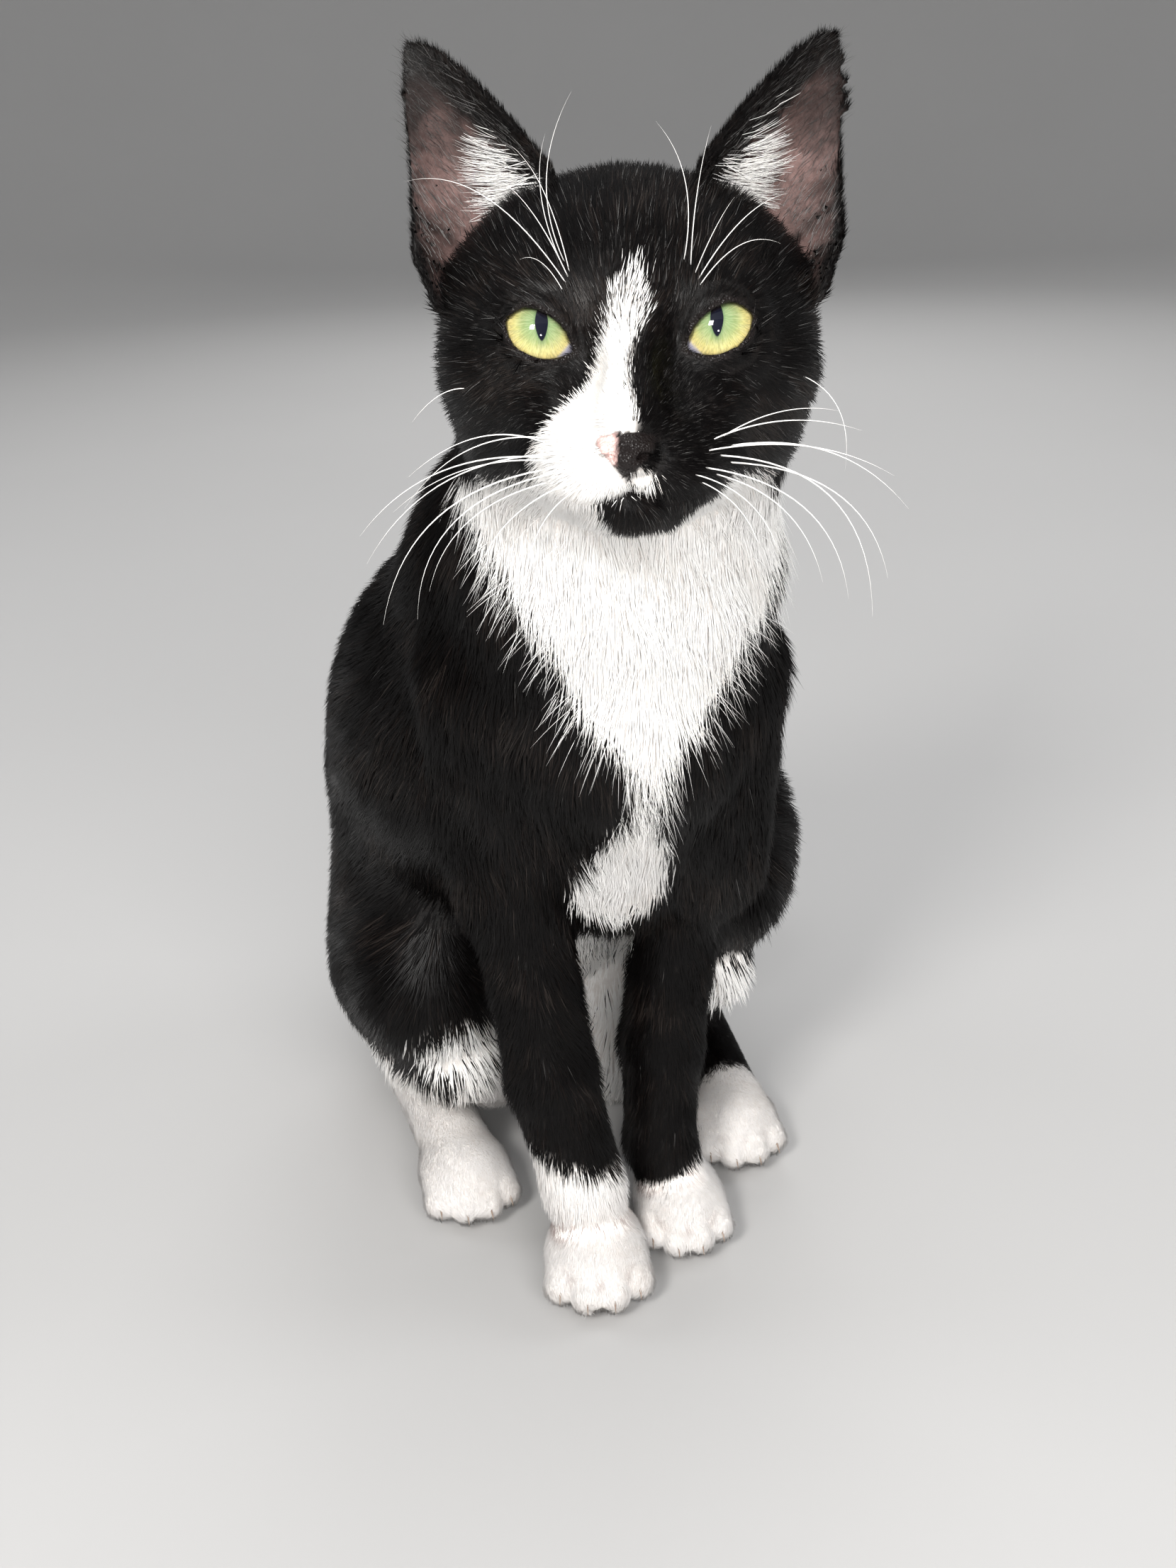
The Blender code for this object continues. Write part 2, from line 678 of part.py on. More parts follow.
def lid_opening(side, steps=8):
    """the almond between the lids, drawn out forwards"""
    bm = bmesh.new()
    ring = []
    us = [-math.cos(math.pi * i / steps) for i in range(steps + 1)]
    for u in us:
        ring.append((u, float(lid_curve(u * 0.98)[0])))
    for u in reversed(us[1:-1]):
        ring.append((u, float(lid_curve(u * 0.98)[1])))
    c, s = math.cos(math.radians(EYE_SLANT)), math.sin(math.radians(EYE_SLANT))
    verts = []
    for u, z in ring:
        a = u * EYE_HALF_W
        verts.append(bm.verts.new((EYE_AT[0] + a * c - z * s, EYE_AT[1] - 3.5, EYE_AT[2] + a * s + z * c)))
    face = bm.faces.new(verts)
    out = bmesh.ops.extrude_face_region(bm, geom=[face])
    for v in [g for g in out["geom"] if isinstance(g, bmesh.types.BMVert)]:
        v.co.y = -30
    bmesh.ops.recalc_face_normals(bm, faces=bm.faces)
    ob = from_bmesh("lid_opening", bm, CUTTERS)
    m = HEAD_WORLD @ (MIRROR if side < 0 else Matrix.Identity(4))
    ob.data.transform(m)
    if side < 0:
        ob.data.flip_normals()
    return ob


for side in (1, -1):
    for cutter in (eye_sphere("socket", side, EYE_R + 0.35, CUTTERS), lid_opening(side)):
        boolean(head, cutter, "DIFFERENCE")
        drop(cutter)
eye_left = eye_sphere("eye_left", 1, EYE_R, CAT)
eye_right = eye_sphere("eye_right", -1, EYE_R, CAT)

nose = carve(head, "nose", **head_box((-6.6, -30, -33.0), (6.6, -15.6, -21.5)))
lower_jaw = carve(head, "lower_jaw", **head_box((-34, -40, -75), (34, 12, -40.6)))
head.name = "head"
CUTTERS.objects.unlink(head)
CAT.objects.link(head)


# ---------------------------------------------------------------- trunk, legs and tail
def coarse_masses(bm):
    for table in (TRUNK, FORE_R, FORE_L, HIND_R, HIND_L, TAIL, *PAWS.values()):
        for mass in table.values():
            add_mass(bm, mass)


body = mass_mesh("body_mass", coarse_masses, BODY_VOXEL, (nape_at + 8 * nape_out).tolist(), nape_out.tolist())
thin_out(body, BODY_FACES)
nape = box("nape", cut2["centre"], cut2["half"], cut2["rot"], GAP)
largest(boolean(body, nape, "DIFFERENCE"))
drop(nape)

pieces = {}


def part(name, **where):
    pieces[name] = carve(body, name, **where)


part("tail_tip", centre=(76, 146, 15), half=(27, 38, 30))
part("tail_middle", centre=(13, 186, 15), half=(35.7, 36, 30))
part("tail_base", centre=(-62, 181, 30), half=(39, 40, 45))

R_WRIST, L_WRIST = 33.0, 32.0
part("forepaw_right", centre=(-16, -92, R_WRIST / 2 - 4), half=(30.4, 32, R_WRIST / 2 + 4))
part("forepaw_left", centre=(38, -64, L_WRIST / 2 - 4), half=(23.2, 30, L_WRIST / 2 + 4))
part("foreleg_right", **along((-28, -52, 143), (-8, -81, 30), (21.5, 23), after=8))
part("foreleg_left", **along((34, -43, 141), (22.5, -54, 30), (20.5, 21), after=8))

HEADING = turn("z", 14)
part("hindfoot_right", centre=(-68, 0, 8), half=(24, 76, 19.5), rot=turn("z", 15.7))
part("hindfoot_left", centre=(48, 32, 8), half=(22, 76, 19.5), rot=turn("z", 9))
part("hindleg_right", centre=(-91, 6, 92), half=(42, 92, 64), rot=HEADING)
part("hindleg_left", centre=(66, 8, 96), half=(42, 92, 66), rot=HEADING)
body.name = "trunk"
CUTTERS.objects.unlink(body)
CAT.objects.link(body)

# ---------------------------------------------------------------- finish, size and origin
pieces.update(head=head, neck=neck, trunk=body, nose=nose, lower_jaw=lower_jaw, ear_left=ear_left,
              ear_right=ear_right, eye_left=eye_left, eye_right=eye_right)
LOOK = {
    "head": (BLACK, 0.55), "neck": (WHITE, 0.75), "trunk": (BLACK, 0.55), "nose": ((0.05, 0.03, 0.03), 0.4),
    "lower_jaw": (BLACK, 0.6), "ear_left": ((0.16, 0.10, 0.09), 0.6), "ear_right": ((0.16, 0.10, 0.09), 0.6),
    "forepaw_left": (WHITE, 0.75), "forepaw_right": (WHITE, 0.75), "hindfoot_left": (WHITE, 0.75),
    "hindfoot_right": (WHITE, 0.75), "eye_left": ((0.42, 0.50, 0.10), 0.08), "eye_right": ((0.42, 0.50, 0.10), 0.08),
}

low, high = np.full(3, 1e9), np.full(3, -1e9)
for ob in pieces.values():
    co = np.empty(len(ob.data.vertices) * 3, np.float32)
    ob.data.vertices.foreach_get("co", co)
    co = co.reshape(-1, 3)
    low, high = np.minimum(low, co.min(0)), np.maximum(high, co.max(0))
ORIGIN = Vector((float(low[0] + high[0]) / 2, float(low[1] + high[1]) / 2, float(low[2])))

total = 0
for name, ob in sorted(pieces.items()):
    colour, rough = LOOK.get(name, (BLACK, 0.55))
    ob.name = name
    ob.data.materials.clear()
    ob.data.materials.append(material(name + "_finish", colour, rough, 0.6 if name.startswith("eye") else 0.0))
    bm = bmesh.new()
    bm.from_mesh(ob.data)
    bmesh.ops.remove_doubles(bm, verts=bm.verts, dist=0.02)
    bmesh.ops.dissolve_degenerate(bm, edges=bm.edges, dist=0.02)
    bmesh.ops.triangulate(bm, faces=bm.faces)
    bm.to_mesh(ob.data)
    bm.free()
    # each piece turns about the middle of its own box, and stands in the whole by its location
    co = np.array([v.co for v in ob.data.vertices])
    mid = Vector(((co.min(0) + co.max(0)) / 2).tolist())
    ob.data.transform(Matrix.Scale(MM, 4) @ Matrix.Translation(-mid))
    ob.location = (mid - ORIGIN) * MM
    ob.data.shade_smooth()
    ob.data.set_sharp_from_angle(angle=math.radians(50))
    total += len(ob.data.polygons)
for ob in list(CUTTERS.objects):
    drop(ob)
print("box mm", low.round(3).tolist(), high.round(3).tolist(), "triangles", total)
print("origin mm", [round(v, 4) for v in ORIGIN], {n: len(o.data.polygons) for n, o in pieces.items()})
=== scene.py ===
import math

import bmesh
import bpy
import numpy as np
from mathutils import Matrix, Vector


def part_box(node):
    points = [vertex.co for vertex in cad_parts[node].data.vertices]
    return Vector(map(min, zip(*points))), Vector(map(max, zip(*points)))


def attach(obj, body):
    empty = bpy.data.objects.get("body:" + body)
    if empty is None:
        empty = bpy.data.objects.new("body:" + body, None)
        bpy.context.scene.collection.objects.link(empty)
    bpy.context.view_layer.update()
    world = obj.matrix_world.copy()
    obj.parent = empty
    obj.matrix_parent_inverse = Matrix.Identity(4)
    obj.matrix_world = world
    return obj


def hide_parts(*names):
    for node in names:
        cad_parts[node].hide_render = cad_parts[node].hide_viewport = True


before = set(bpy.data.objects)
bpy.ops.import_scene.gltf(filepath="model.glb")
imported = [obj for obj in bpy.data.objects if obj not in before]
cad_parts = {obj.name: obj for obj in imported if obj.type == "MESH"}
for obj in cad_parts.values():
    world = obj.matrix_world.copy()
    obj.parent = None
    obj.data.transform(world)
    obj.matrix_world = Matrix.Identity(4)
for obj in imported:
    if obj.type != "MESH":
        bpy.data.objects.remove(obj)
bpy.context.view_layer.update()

MM = 0.001
RNG = np.random.default_rng(7)

# ---------------------------------------------------------------- the cat's form, in millimetres
# Every mass of the body is a named ellipsoid or a tapered limb. They are blended into each other
# with soft fillets. The cat faces -Y, its left side is +X, and the floor is z = 0.
F32 = np.float32


def vec(*a):
    return np.array(a, float)


def turn(axis, deg):
    c, s = math.cos(math.radians(deg)), math.sin(math.radians(deg))
    return np.array({"x": [[1, 0, 0], [0, c, -s], [0, s, c]],
                     "y": [[c, 0, s], [0, 1, 0], [-s, 0, c]],
                     "z": [[c, -s, 0], [s, c, 0], [0, 0, 1]]}[axis], float)


def smooth_min(a, b, k):
    h = np.maximum(k - np.abs(a - b), 0) / k
    return np.minimum(a, b) - h * h * h * (k / 6.0)


def smooth_max(a, b, k):
    return -smooth_min(-a, -b, k)


class Ball:
    """an ellipsoid mass: centre, three radii, blend with what it grows from, and a turn"""

    def __init__(self, centre, radii, blend=0.0, rot=None):
        self.c, self.r, self.k = np.array(centre, float), np.array(radii, float), blend
        self.rot = np.eye(3) if rot is None else rot

    def field(self, p):
        q = (p - self.c.astype(F32)) @ self.rot.astype(F32)
        r = self.r.astype(F32)
        k0 = np.sqrt(((q / r) ** 2).sum(-1))
        k1 = np.sqrt(((q / (r * r)) ** 2).sum(-1))
        return k0 * (k0 - 1) / np.maximum(k1, 1e-9)


class Limb:
    """a round tapered limb between two joints"""

    def __init__(self, a, b, ra, rb, blend=0.0):
        self.a, self.b, self.ra, self.rb, self.k = np.array(a, float), np.array(b, float), ra, rb, blend

    def field(self, p):
        a, ba = self.a.astype(F32), (self.b - self.a).astype(F32)
        l2 = float(ba @ ba)
        rr = self.ra - self.rb
        a2, il2 = l2 - rr * rr, 1.0 / l2
        pa = p - a
        y = pa @ ba
        z = y - l2
        x2 = ((pa * l2 - ba * y[..., None]) ** 2).sum(-1)
        y2, z2 = y * y * l2, z * z * l2
        k = np.sign(rr) * rr * rr * x2
        d3 = (np.sqrt(x2 * a2 * il2) + y * rr) * il2 - self.ra
        d1 = np.sqrt(x2 + z2) * il2 - self.rb
        d2 = np.sqrt(x2 + y2) * il2 - self.ra
        return np.where(np.sign(z) * a2 * z2 > k, d1, np.where(np.sign(y) * a2 * y2 < k, d2, d3))


def blended(p, masses):
    d = None
    for m in masses.values():
        v = m.field(p)
        d = v if d is None else smooth_min(d, v, m.k)
    return d


# ---- head: its own frame, origin midway between the corneas, x to the cat's left, y to the back
HEAD_AT = vec(15.05, -156.0, 342.4)
HEAD_YAW, HEAD_PITCH, HEAD_ROLL = -1.27, 9.3, 0.77
HEAD_ROT = turn("z", HEAD_YAW) @ turn("x", -HEAD_PITCH) @ turn("y", HEAD_ROLL)


def to_head(p):
    return (p - HEAD_AT.astype(F32)) @ HEAD_ROT.astype(F32)


def from_head(q):
    return HEAD_AT + np.asarray(q, float) @ HEAD_ROT.T


HEAD = {                                   # half of it; the other half is its mirror
    "cranium": Ball((0, 47, 9), (41.8, 42, 35)),
    "forehead": Ball((0, 26, 11), (27, 26, 26), 14),
    "temple": Ball((22, 34, 12), (21, 26, 24), 14),
    "ear_root": Ball((36, 44, 6), (15, 20, 20), 12),
    "brow": Ball((19.5, 19, 8), (17, 17, 15), 10),
    "cheek_bone": Ball((26.5, 34, -9), (25, 30, 24), 12),
    "jowl": Ball((24, 38, -26), (22, 26, 17), 12),
    "bridge": Limb((0, 10, 3), (0, -10, -21), 12.5, 8, 9),
    "under_eye": Ball((15, 8, -20), (14, 14, 14), 12),
    "whisker_pad": Ball((9.0, -4.5, -33), (13.5, 13, 10.5), 11, turn("z", 18)),
    "lip_corner": Ball((16.5, 9, -33), (13, 16, 11), 11),
    "chin": Ball((0, -4, -42.5), (10, 10.5, 7.5), 4),
    "jaw": Limb((7, 2, -41), (24, 40, -34), 9, 13, 8),
    "nose": Ball((0, -16.8, -28.9), (6.0, 4.2, 5.0), 3),
}
TEAR_HOLLOW = Ball((12.0, -7, -7), (5, 6, 8))
UPPER_LID = Ball((21.5, 9.0, 8.6), (12.5, 7, 5.0), 9, turn("y", -12))
LOWER_LID = Ball((23.5, 10.0, -9.4), (12, 7, 4.8), 8, turn("y", -17))
EYE_AT = vec(22.5, 9.8, -0.2)              # centre of the left eyeball
EYE_R = 10.6                               # radius of the eyeball
LID_T = 1.6                                # thickness of the lids over it
EYE_SLANT = 25.0                           # the opening rises this much towards the outer corner
EYE_HALF_W, EYE_UP, EYE_DOWN = 9.3, 5.6, 5.1


def lid_curve(u):
    """height of the upper and lower lid edge at u = -1.. 1 across the opening"""
    t = u - 0.15
    up = EYE_UP * (1 - np.where(t < 0, np.abs(t / 1.15) ** 2.25, np.abs(t / 0.85) ** 3.8))
    down = -EYE_DOWN * (1 - np.where(u < 0, np.abs(u) ** 2.2, np.abs(u) ** 3.1))
    return up, down


def half_head(p):
    m = to_head(p)
    m[:, 0] = np.sqrt(m[:, 0] ** 2 + 1.0)
    return m


def head_field(p):
    m = half_head(p)
    d = blended(m, HEAD)
    d = smooth_max(d, -TEAR_HOLLOW.field(m), 7)
    v = np.sqrt(((m - EYE_AT.astype(F32)) ** 2).sum(-1))
    d = smooth_min(d, v - (EYE_R + LID_T), 4)
    d = smooth_min(d, UPPER_LID.field(m), UPPER_LID.k)
    return smooth_min(d, LOWER_LID.field(m), LOWER_LID.k)


# ---- ears: a leaf curled into a cup, from its root up to its rounded tip
EAR_ROOT, EAR_TIP = vec(39, 33.5, 31.5), vec(55.5, 52, 76)
EAR_LEN = float(np.linalg.norm(EAR_TIP - EAR_ROOT))
EAR_OUTER_W, EAR_INNER_W = 21.7, 23.2      # half widths at the root
EAR_CUP = 16.0                             # depth of the cup at the root
EAR_T = 3.6                                # thickness with its short fur
EAR_AXIS = (EAR_TIP - EAR_ROOT) / EAR_LEN
EAR_OPEN = vec(0.30, -1, 0) - EAR_AXIS * float(vec(0.30, -1, 0) @ EAR_AXIS)
EAR_OPEN = EAR_OPEN / np.linalg.norm(EAR_OPEN)          # the way the cup opens
EAR_SIDE = np.cross(EAR_AXIS, EAR_OPEN)
EAR_SIDE = EAR_SIDE * (1 if EAR_SIDE[0] > 0 else -1)    # towards the outer edge


def ear_widths(u):
    c = 1 - np.clip(u, 0, 0.9995)
    return EAR_OUTER_W * c ** 0.527, EAR_INNER_W * c ** 0.66


def ear_depth(u, t):
    """how far the leaf lies behind its rim plane"""
    c = np.clip(1 - u, 0, 1.3)
    return -EAR_CUP * c ** 1.15 * (1 - t * t) - 1.6 * 4 * np.clip(u, 0, 1) * np.clip(1 - u, 0, 1)


def ear_local(m):
    q = m - EAR_ROOT.astype(F32)
    return q @ EAR_AXIS.astype(F32), q @ EAR_OPEN.astype(F32), q @ EAR_SIDE.astype(F32)


def ear_field(p, thick=EAR_T, wider=0.0):
    m = to_head(p)
    m[:, 0] = np.abs(m[:, 0])
    s, n, t = ear_local(m)
    u = s / EAR_LEN
    wo, wi = ear_widths(u)
    w = np.maximum(np.where(t > 0, wo, wi), 0.6)
    tt = np.clip(t / np.maximum(w, 3), -1.3, 1.3)
    w = w + wider
    d1 = (np.abs(n - ear_depth(u, tt)) - thick / 2) * 0.75
    d2 = (np.abs(t) - w) * 0.85
    d = smooth_max(d1, d2, 2.4)
    d = smooth_max(d, s - EAR_LEN, 2.4)
    return smooth_max(d, -s - 19, 2.0)


# ---- neck and trunk, from the throat down the chest and back along the spine
TRUNK = {
    "throat": Ball((14.5, -98, 302), (47.5, 40, 38)),
    "neck": Ball((12.5, -88, 266), (49.5, 42, 46), 18),
    "breast": Ball((11, -76, 226), (48, 46, 50), 24),
    "brisket": Limb((11, -84, 205), (8, -56, 150), 34, 26, 22),
    "nape": Limb((13, -94, 318), (4, -56, 268), 33, 42, 20),
    "withers": Ball((-6, -40, 248), (50, 50, 50), 32),
    "ribs": Ball((-20, -8, 187), (69, 66, 73), 42),
    "belly": Ball((-28, 42, 142), (73, 74, 88), 48),
    "rump": Ball((-35, 84, 68), (70, 50, 76), 44),
    "groin": Ball((4, 42, 38), (36, 40, 42), 22),
    "tail_root": Limb((-37, 104, 60), (-43, 132, 30), 25, 16.5, 18),
}


# ---- legs. A paw is a rounded block with four toes
def paw_masses(toe, heading, length, width, height):
    """toe: where the middle toes end on the floor, as (x, y)"""
    h = vec(heading[0], heading[1], 0)
    h = h / np.linalg.norm(h)
    side = vec(-h[1], h[0], 0)
    rot = np.stack([side, -h, vec(0, 0, 1)], 1)

    def at(x, y, z):
        return vec(toe[0], toe[1], 0) + rot @ vec(x, y, z)

    out = {"pad": Ball(at(0, length * 0.58, height * 0.48), (width * 0.48, length * 0.48, height * 0.60), 7, rot)}
    toe_r = width * 0.168
    for i, x in enumerate((-0.345, -0.12, 0.12, 0.345)):
        back = 0.0 if i in (1, 2) else 0.13
        out["toe%d" % i] = Limb(at(x * width * 0.86, length * 0.55, height * 0.56),
                                at(x * width, length * back + toe_r, height * 0.38), toe_r, toe_r * 1.08, 4.6)
    return out


FORE_R = {
    "upper_arm": Limb((-24, -70, 222), (-27, -52, 142), 30, 22),
    "forearm": Limb((-26, -54, 140), (-17, -74, 76), 18.5, 16, 14),
    "shin": Limb((-17, -74, 76), (-8, -81, 36), 16, 14.5, 8),
    "wrist": Limb((-8, -81, 36), (-5, -84, 20), 14, 13.5, 7),
}
FORE_L = {
    "upper_arm": Limb((38.5, -70, 222), (39, -47, 146), 27.5, 23),
    "forearm": Limb((31, -44, 136), (22.5, -48, 72), 18, 15, 14),
    "shin": Limb((22.5, -48, 72), (20.8, -54, 34), 15, 12.8, 8),
    "wrist": Limb((20.8, -54, 34), (24.5, -56, 20), 12.8, 13, 7),
}
HIND_R = {
    "thigh": Ball((-66, 16, 92), (35, 62, 57), 0, turn("z", 12)),
    "ham": Ball((-68, 52, 74), (31, 46, 46), 30, turn("z", 12)),
    "knee": Limb((-62, -30, 88), (-71, 22, 70), 25, 31, 22),
    "inner_shank": Limb((-54, -28, 60), (-43, -8, 39), 19, 14.5, 12),
    "shank": Limb((-66, -16, 54), (-82, 50, 26), 17, 13, 16),
    "metatarsus": Limb((-85, 62, 15), (-58, -20, 14), 13, 13.5, 10),
}
HIND_L = {
    "thigh": Ball((37, 12, 130), (39.5, 54, 43), 0, turn("z", 12)),
    "ham": Ball((26, 50, 76), (32, 46, 46), 30, turn("z", 12)),
    "knee": Limb((47, -26, 122), (42, 24, 98), 21, 26, 20),
    "shank": Limb((43, -16, 86), (37, 60, 29), 16, 13, 16),
    "metatarsus": Limb((36, 86, 15), (50, 4, 14), 13, 13, 10),
}
PAWS = {
    "fore_r": paw_masses((-3, -116), (0.04, -1), 47, 37.5, 25),
    "fore_l": paw_masses((29.5, -86.5), (0.10, -1), 46, 34.5, 24),
    "hind_r": paw_masses((-46.5, -62), (0.27, -1), 46, 36, 24),
    "hind_l": paw_masses((55, -34.5), (0.18, -1), 45, 36, 24),
}

# ---- tail: laid on the floor behind the rump in one open hook
TAIL_PATH = [(-43, 132, 32), (-47, 148, 18.5), (-43, 171, 13.6), (-22, 190, 12.8), (8, 198, 12.3),
             (34, 193, 11.8), (53, 177, 11.3), (60, 154, 10.5), (54, 133, 9.2)]


def tail_axis(n=34):
    """a smooth curve through the tail's bends, with its radius"""
    c = np.array(TAIL_PATH, float)
    c = np.vstack([2 * c[0] - c[1], c, 2 * c[-1] - c[-2]])
    out = []
    for i in range(n):
        t = i / (n - 1) * (len(c) - 3)
        j = min(int(t), len(c) - 4)
        t -= j
        p0, p1, p2, p3 = c[j], c[j + 1], c[j + 2], c[j + 3]
        out.append(0.5 * ((2 * p1) + (p2 - p0) * t + (2 * p0 - 5 * p1 + 4 * p2 - p3) * t * t
                          + (3 * p1 - p0 - 3 * p2 + p3) * t ** 3))
    out = np.array(out)
    f = np.linspace(0, 1, n)
    rad = 15.5 - 5.2 * np.clip(f / 0.35, 0, 1) ** 0.7 * 0.55 - 3.4 * f ** 1.6
    return out, np.minimum(rad, out[:, 2] + 0.4)


TAIL = {}
_axis, _rad = tail_axis(18)
for _i in range(len(_axis) - 1):
    TAIL["tail%02d" % _i] = Limb(_axis[_i], _axis[_i + 1], float(_rad[_i]), float(_rad[_i + 1]), 0.6)


def leg_field(p, limb, paw):
    masses = dict(limb)
    masses.update(paw)
    return blended(p, masses)


def body_field(p):
    low = np.clip((p[:, 2] - 40) / 70, 0, 1)            # the feet stay apart, the thighs melt in
    d = blended(p, TRUNK)
    d = smooth_min(d, head_field(p), 14)
    d = smooth_min(d, leg_field(p, HIND_R, PAWS["hind_r"]), 6 + 12 * low)
    d = smooth_min(d, leg_field(p, HIND_L, PAWS["hind_l"]), 6 + 12 * low)
    d = smooth_min(d, leg_field(p, FORE_R, PAWS["fore_r"]), 1 + 12 * low)
    d = smooth_min(d, leg_field(p, FORE_L, PAWS["fore_l"]), 1 + 12 * low)
    return smooth_min(d, blended(p, TAIL), 8)


def cat_field(p):
    """distance to the outside of the coat: negative inside"""
    return smooth_max(smooth_min(body_field(p), ear_field(p), 5), -p[:, 2], 1.0)


def normals(fn, p, e=0.3):
    g = np.stack([fn(p + np.array(d, F32) * e) - fn(p - np.array(d, F32) * e)
                  for d in ((1, 0, 0), (0, 1, 0), (0, 0, 1))], -1) / (2 * e)
    return g


def settle(fn, p, rounds=3, level=0.0, e=0.3):
    """moves points along the gradient until they lie on the surface fn = level"""
    p = p.astype(F32)
    for _ in range(rounds):
        g = normals(fn, p, e)
        p = p - g * ((fn(p) - level) / np.maximum((g * g).sum(-1), 0.08))[:, None]
    return p


# ---------------------------------------------------------------- one frame with the CAD
def node_middle(name):
    lo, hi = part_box(name)
    return (np.array(lo, float) + np.array(hi, float)) / 2


# the eyeball's middle is known in both, so it ties the form above to the row's origin
ORIGIN = from_head(EYE_AT) - node_middle("eye_left") * 1000.0


def to_row(p):
    """millimetres of the form to metres of the row"""
    return (np.asarray(p, float) - ORIGIN) * MM


def step(a, b, x):
    t = np.clip((x - a) / (b - a), 0, 1)
    return t * t * (3 - 2 * t)


def bump_at(x, centre, width):
    return np.exp(-((x - centre) / width) ** 2)


def unit(v):
    return v / np.maximum(np.linalg.norm(v, axis=-1, keepdims=True), 1e-9)


def waves(p, size, seed):
    """smooth noise about -1.. 1, made of a few crossed waves of about this wavelength in mm"""
    r = np.random.default_rng(seed)
    out = np.zeros(len(p))
    for _ in range(7):
        k = unit(r.normal(size=3)) * (2 * math.pi / size) * r.uniform(0.6, 1.6)
        out += np.sin(p @ k + r.uniform(0, 6.28))
    return out / 2.6


# ---------------------------------------------------------------- markings
def head_coords(p):
    return to_head(np.asarray(p, F32)).astype(float)


def white_of(p, n):
    """how far the coat is white (1) or black (0) at points of the form, p in mm; n is outward"""
    x, y, z = p[:, 0].astype(float), p[:, 1].astype(float), p[:, 2].astype(float)
    m = head_coords(p)
    hx, hy, hz = m[:, 0], m[:, 1], m[:, 2]
    w = np.zeros(len(p))

    # blaze and muzzle, the wide part on the cat's right
    zk = [-41.5, -40, -38, -33.3, -27.3, -21.8, -17.3, -13.3, -7.8, -2.8, 4, 10.5, 17]
    lk = [-24, -23.5, -22.5, -24, -24, -20.5, -16, -10.5, -8.3, -6.6, -5.6, -3.2, 0.6]
    rk = [-1, -0.8, -0.8, -0.8, -0.5, 1.2, 1.0, -0.3, -0.9, 0.6, 4.0, 4.0, 1.8]
    left, right = np.interp(hz, zk, lk), np.interp(hz, zk, rk)
    edge = 1.0 + 0.9 * step(-20, 5, hz)
    blaze = step(-edge, edge, hx - left) * step(-edge, edge, right - hx)
    foot_edge = np.interp(hx, [-12, -9.8, -7.5, -4, -1], [-43, -39.9, -39.3, -38.5, -37.2])
    blaze *= step(-0.7, 0.7, hz - foot_edge) * (1 - step(12, 18, hz)) * (hy < 24)
    blaze *= 1 - 0.45 * step(-6, 10, hz)
    spot = 1 - step(0.70, 1.2, np.hypot((hx - 2.3) / 2.7, (hz + 34.3) / 2.7))
    w = np.maximum(w, np.maximum(blaze, spot * (hy < 5)))

    # throat and bib, narrowing to a point, and the small patch under it
    zb = [205, 210, 218, 225, 232, 241, 249, 258, 275, 292, 312]
    lb = [19, 16, 11, 4, -1, -4, -7, -13, -24, -32, -35]
    rb = [20, 21, 28, 33, 38, 44, 48, 54, 59, 62, 64]
    left, right = np.interp(z, zb, lb), np.interp(z, zb, rb)
    bib = step(-2.5, 2.5, x - left) * step(-2.5, 2.5, right - x) * step(-30, -58, y + 0.55 * (z - 250))
    # the chin is black only from its own left edge across to the cat's left; beside that the jaw is white
    chin_edge = np.interp(hz, [-48, -47, -42, -39.5], [-4.6, -5.3, -9.2, -10.0])
    beside = step(0.9, -0.9, hx - chin_edge) * step(-36.0, -38.5, hz)
    behind = step(-33, -37, hz + 0.12 * np.maximum(hy - 8, 0)) * step(1.5, 6, hy + 0.35 * np.abs(hx))
    under_jaw = np.where(z > 284, np.maximum(behind, beside), 1.0)
    w = np.maximum(w, bib * under_jaw * (y < -30) * (z > 205))
    tongue = step(-2.0, 2.0, x - 13) * step(-2.0, 2.0, 23 - x) * (z > 190) * (z < 214) * (y < -60)
    w = np.maximum(w, 0.62 * tongue)
    zp = [142, 146, 151, 162, 177, 190, 197]
    lp = [6, -6, -8, -7, 2, 9, 13]
    rp = [10, 19, 23, 25, 24, 19, 16]
    patch = step(-2, 2, x - np.interp(z, zp, lp)) * step(-2, 2, np.interp(z, zp, rp) - x) * (z > 142) * (z < 197) * (y < -60)
    w = np.maximum(w, patch)
    # the belly is pale where it shows between the forelegs
    behind_legs = step(-4, 4, y - np.interp(z, [96, 140], [-38.0, -60.0]))
    seam = step(-3, 3, x + 14) * step(-3, 3, 20 - x) * step(146, 130, z) * behind_legs * (y < 70) * (n[:, 1] < 0.15)
    w = np.maximum(w, (0.86 + 0.10 * step(95, 60, z)) * seam)

    # feet: the forepaws to just over the wrist, the hind feet to the hock
    fr = step(-1.6, 1.6, (48.5 - 0.34 * (x + 8)) - z) * (y < -56) * ((x < 4) | (y < -94) | ((x < 11) & (n[:, 0] > 0.25)))
    fl = step(-1.6, 1.6, (25.0 + 0.42 * (x - 22)) - z) * (y < -32) * (y > -96) * (x > 8) * (x < 50)
    w = np.maximum(w, np.maximum(fr, fl) * (z < 60))
    hr = step(-2, 2, (51 + 0.45 * (-60 - x) - 0.10 * (y + 30)) - z) * (x < -26) * (y < 66) * step(70, 52, y)
    # the left hind foot is black from just behind its toes back to the heel
    hl = step(-2, 2, (34 + 0.60 * (x - 50)) - z) * (x > 36) * step(2.5, -2.5, y - 6 + 0.45 * (50 - x) + waves(p, 8, 51)) * (y > -60)
    w = np.maximum(w, np.maximum(hr, hl) * (z < 66))
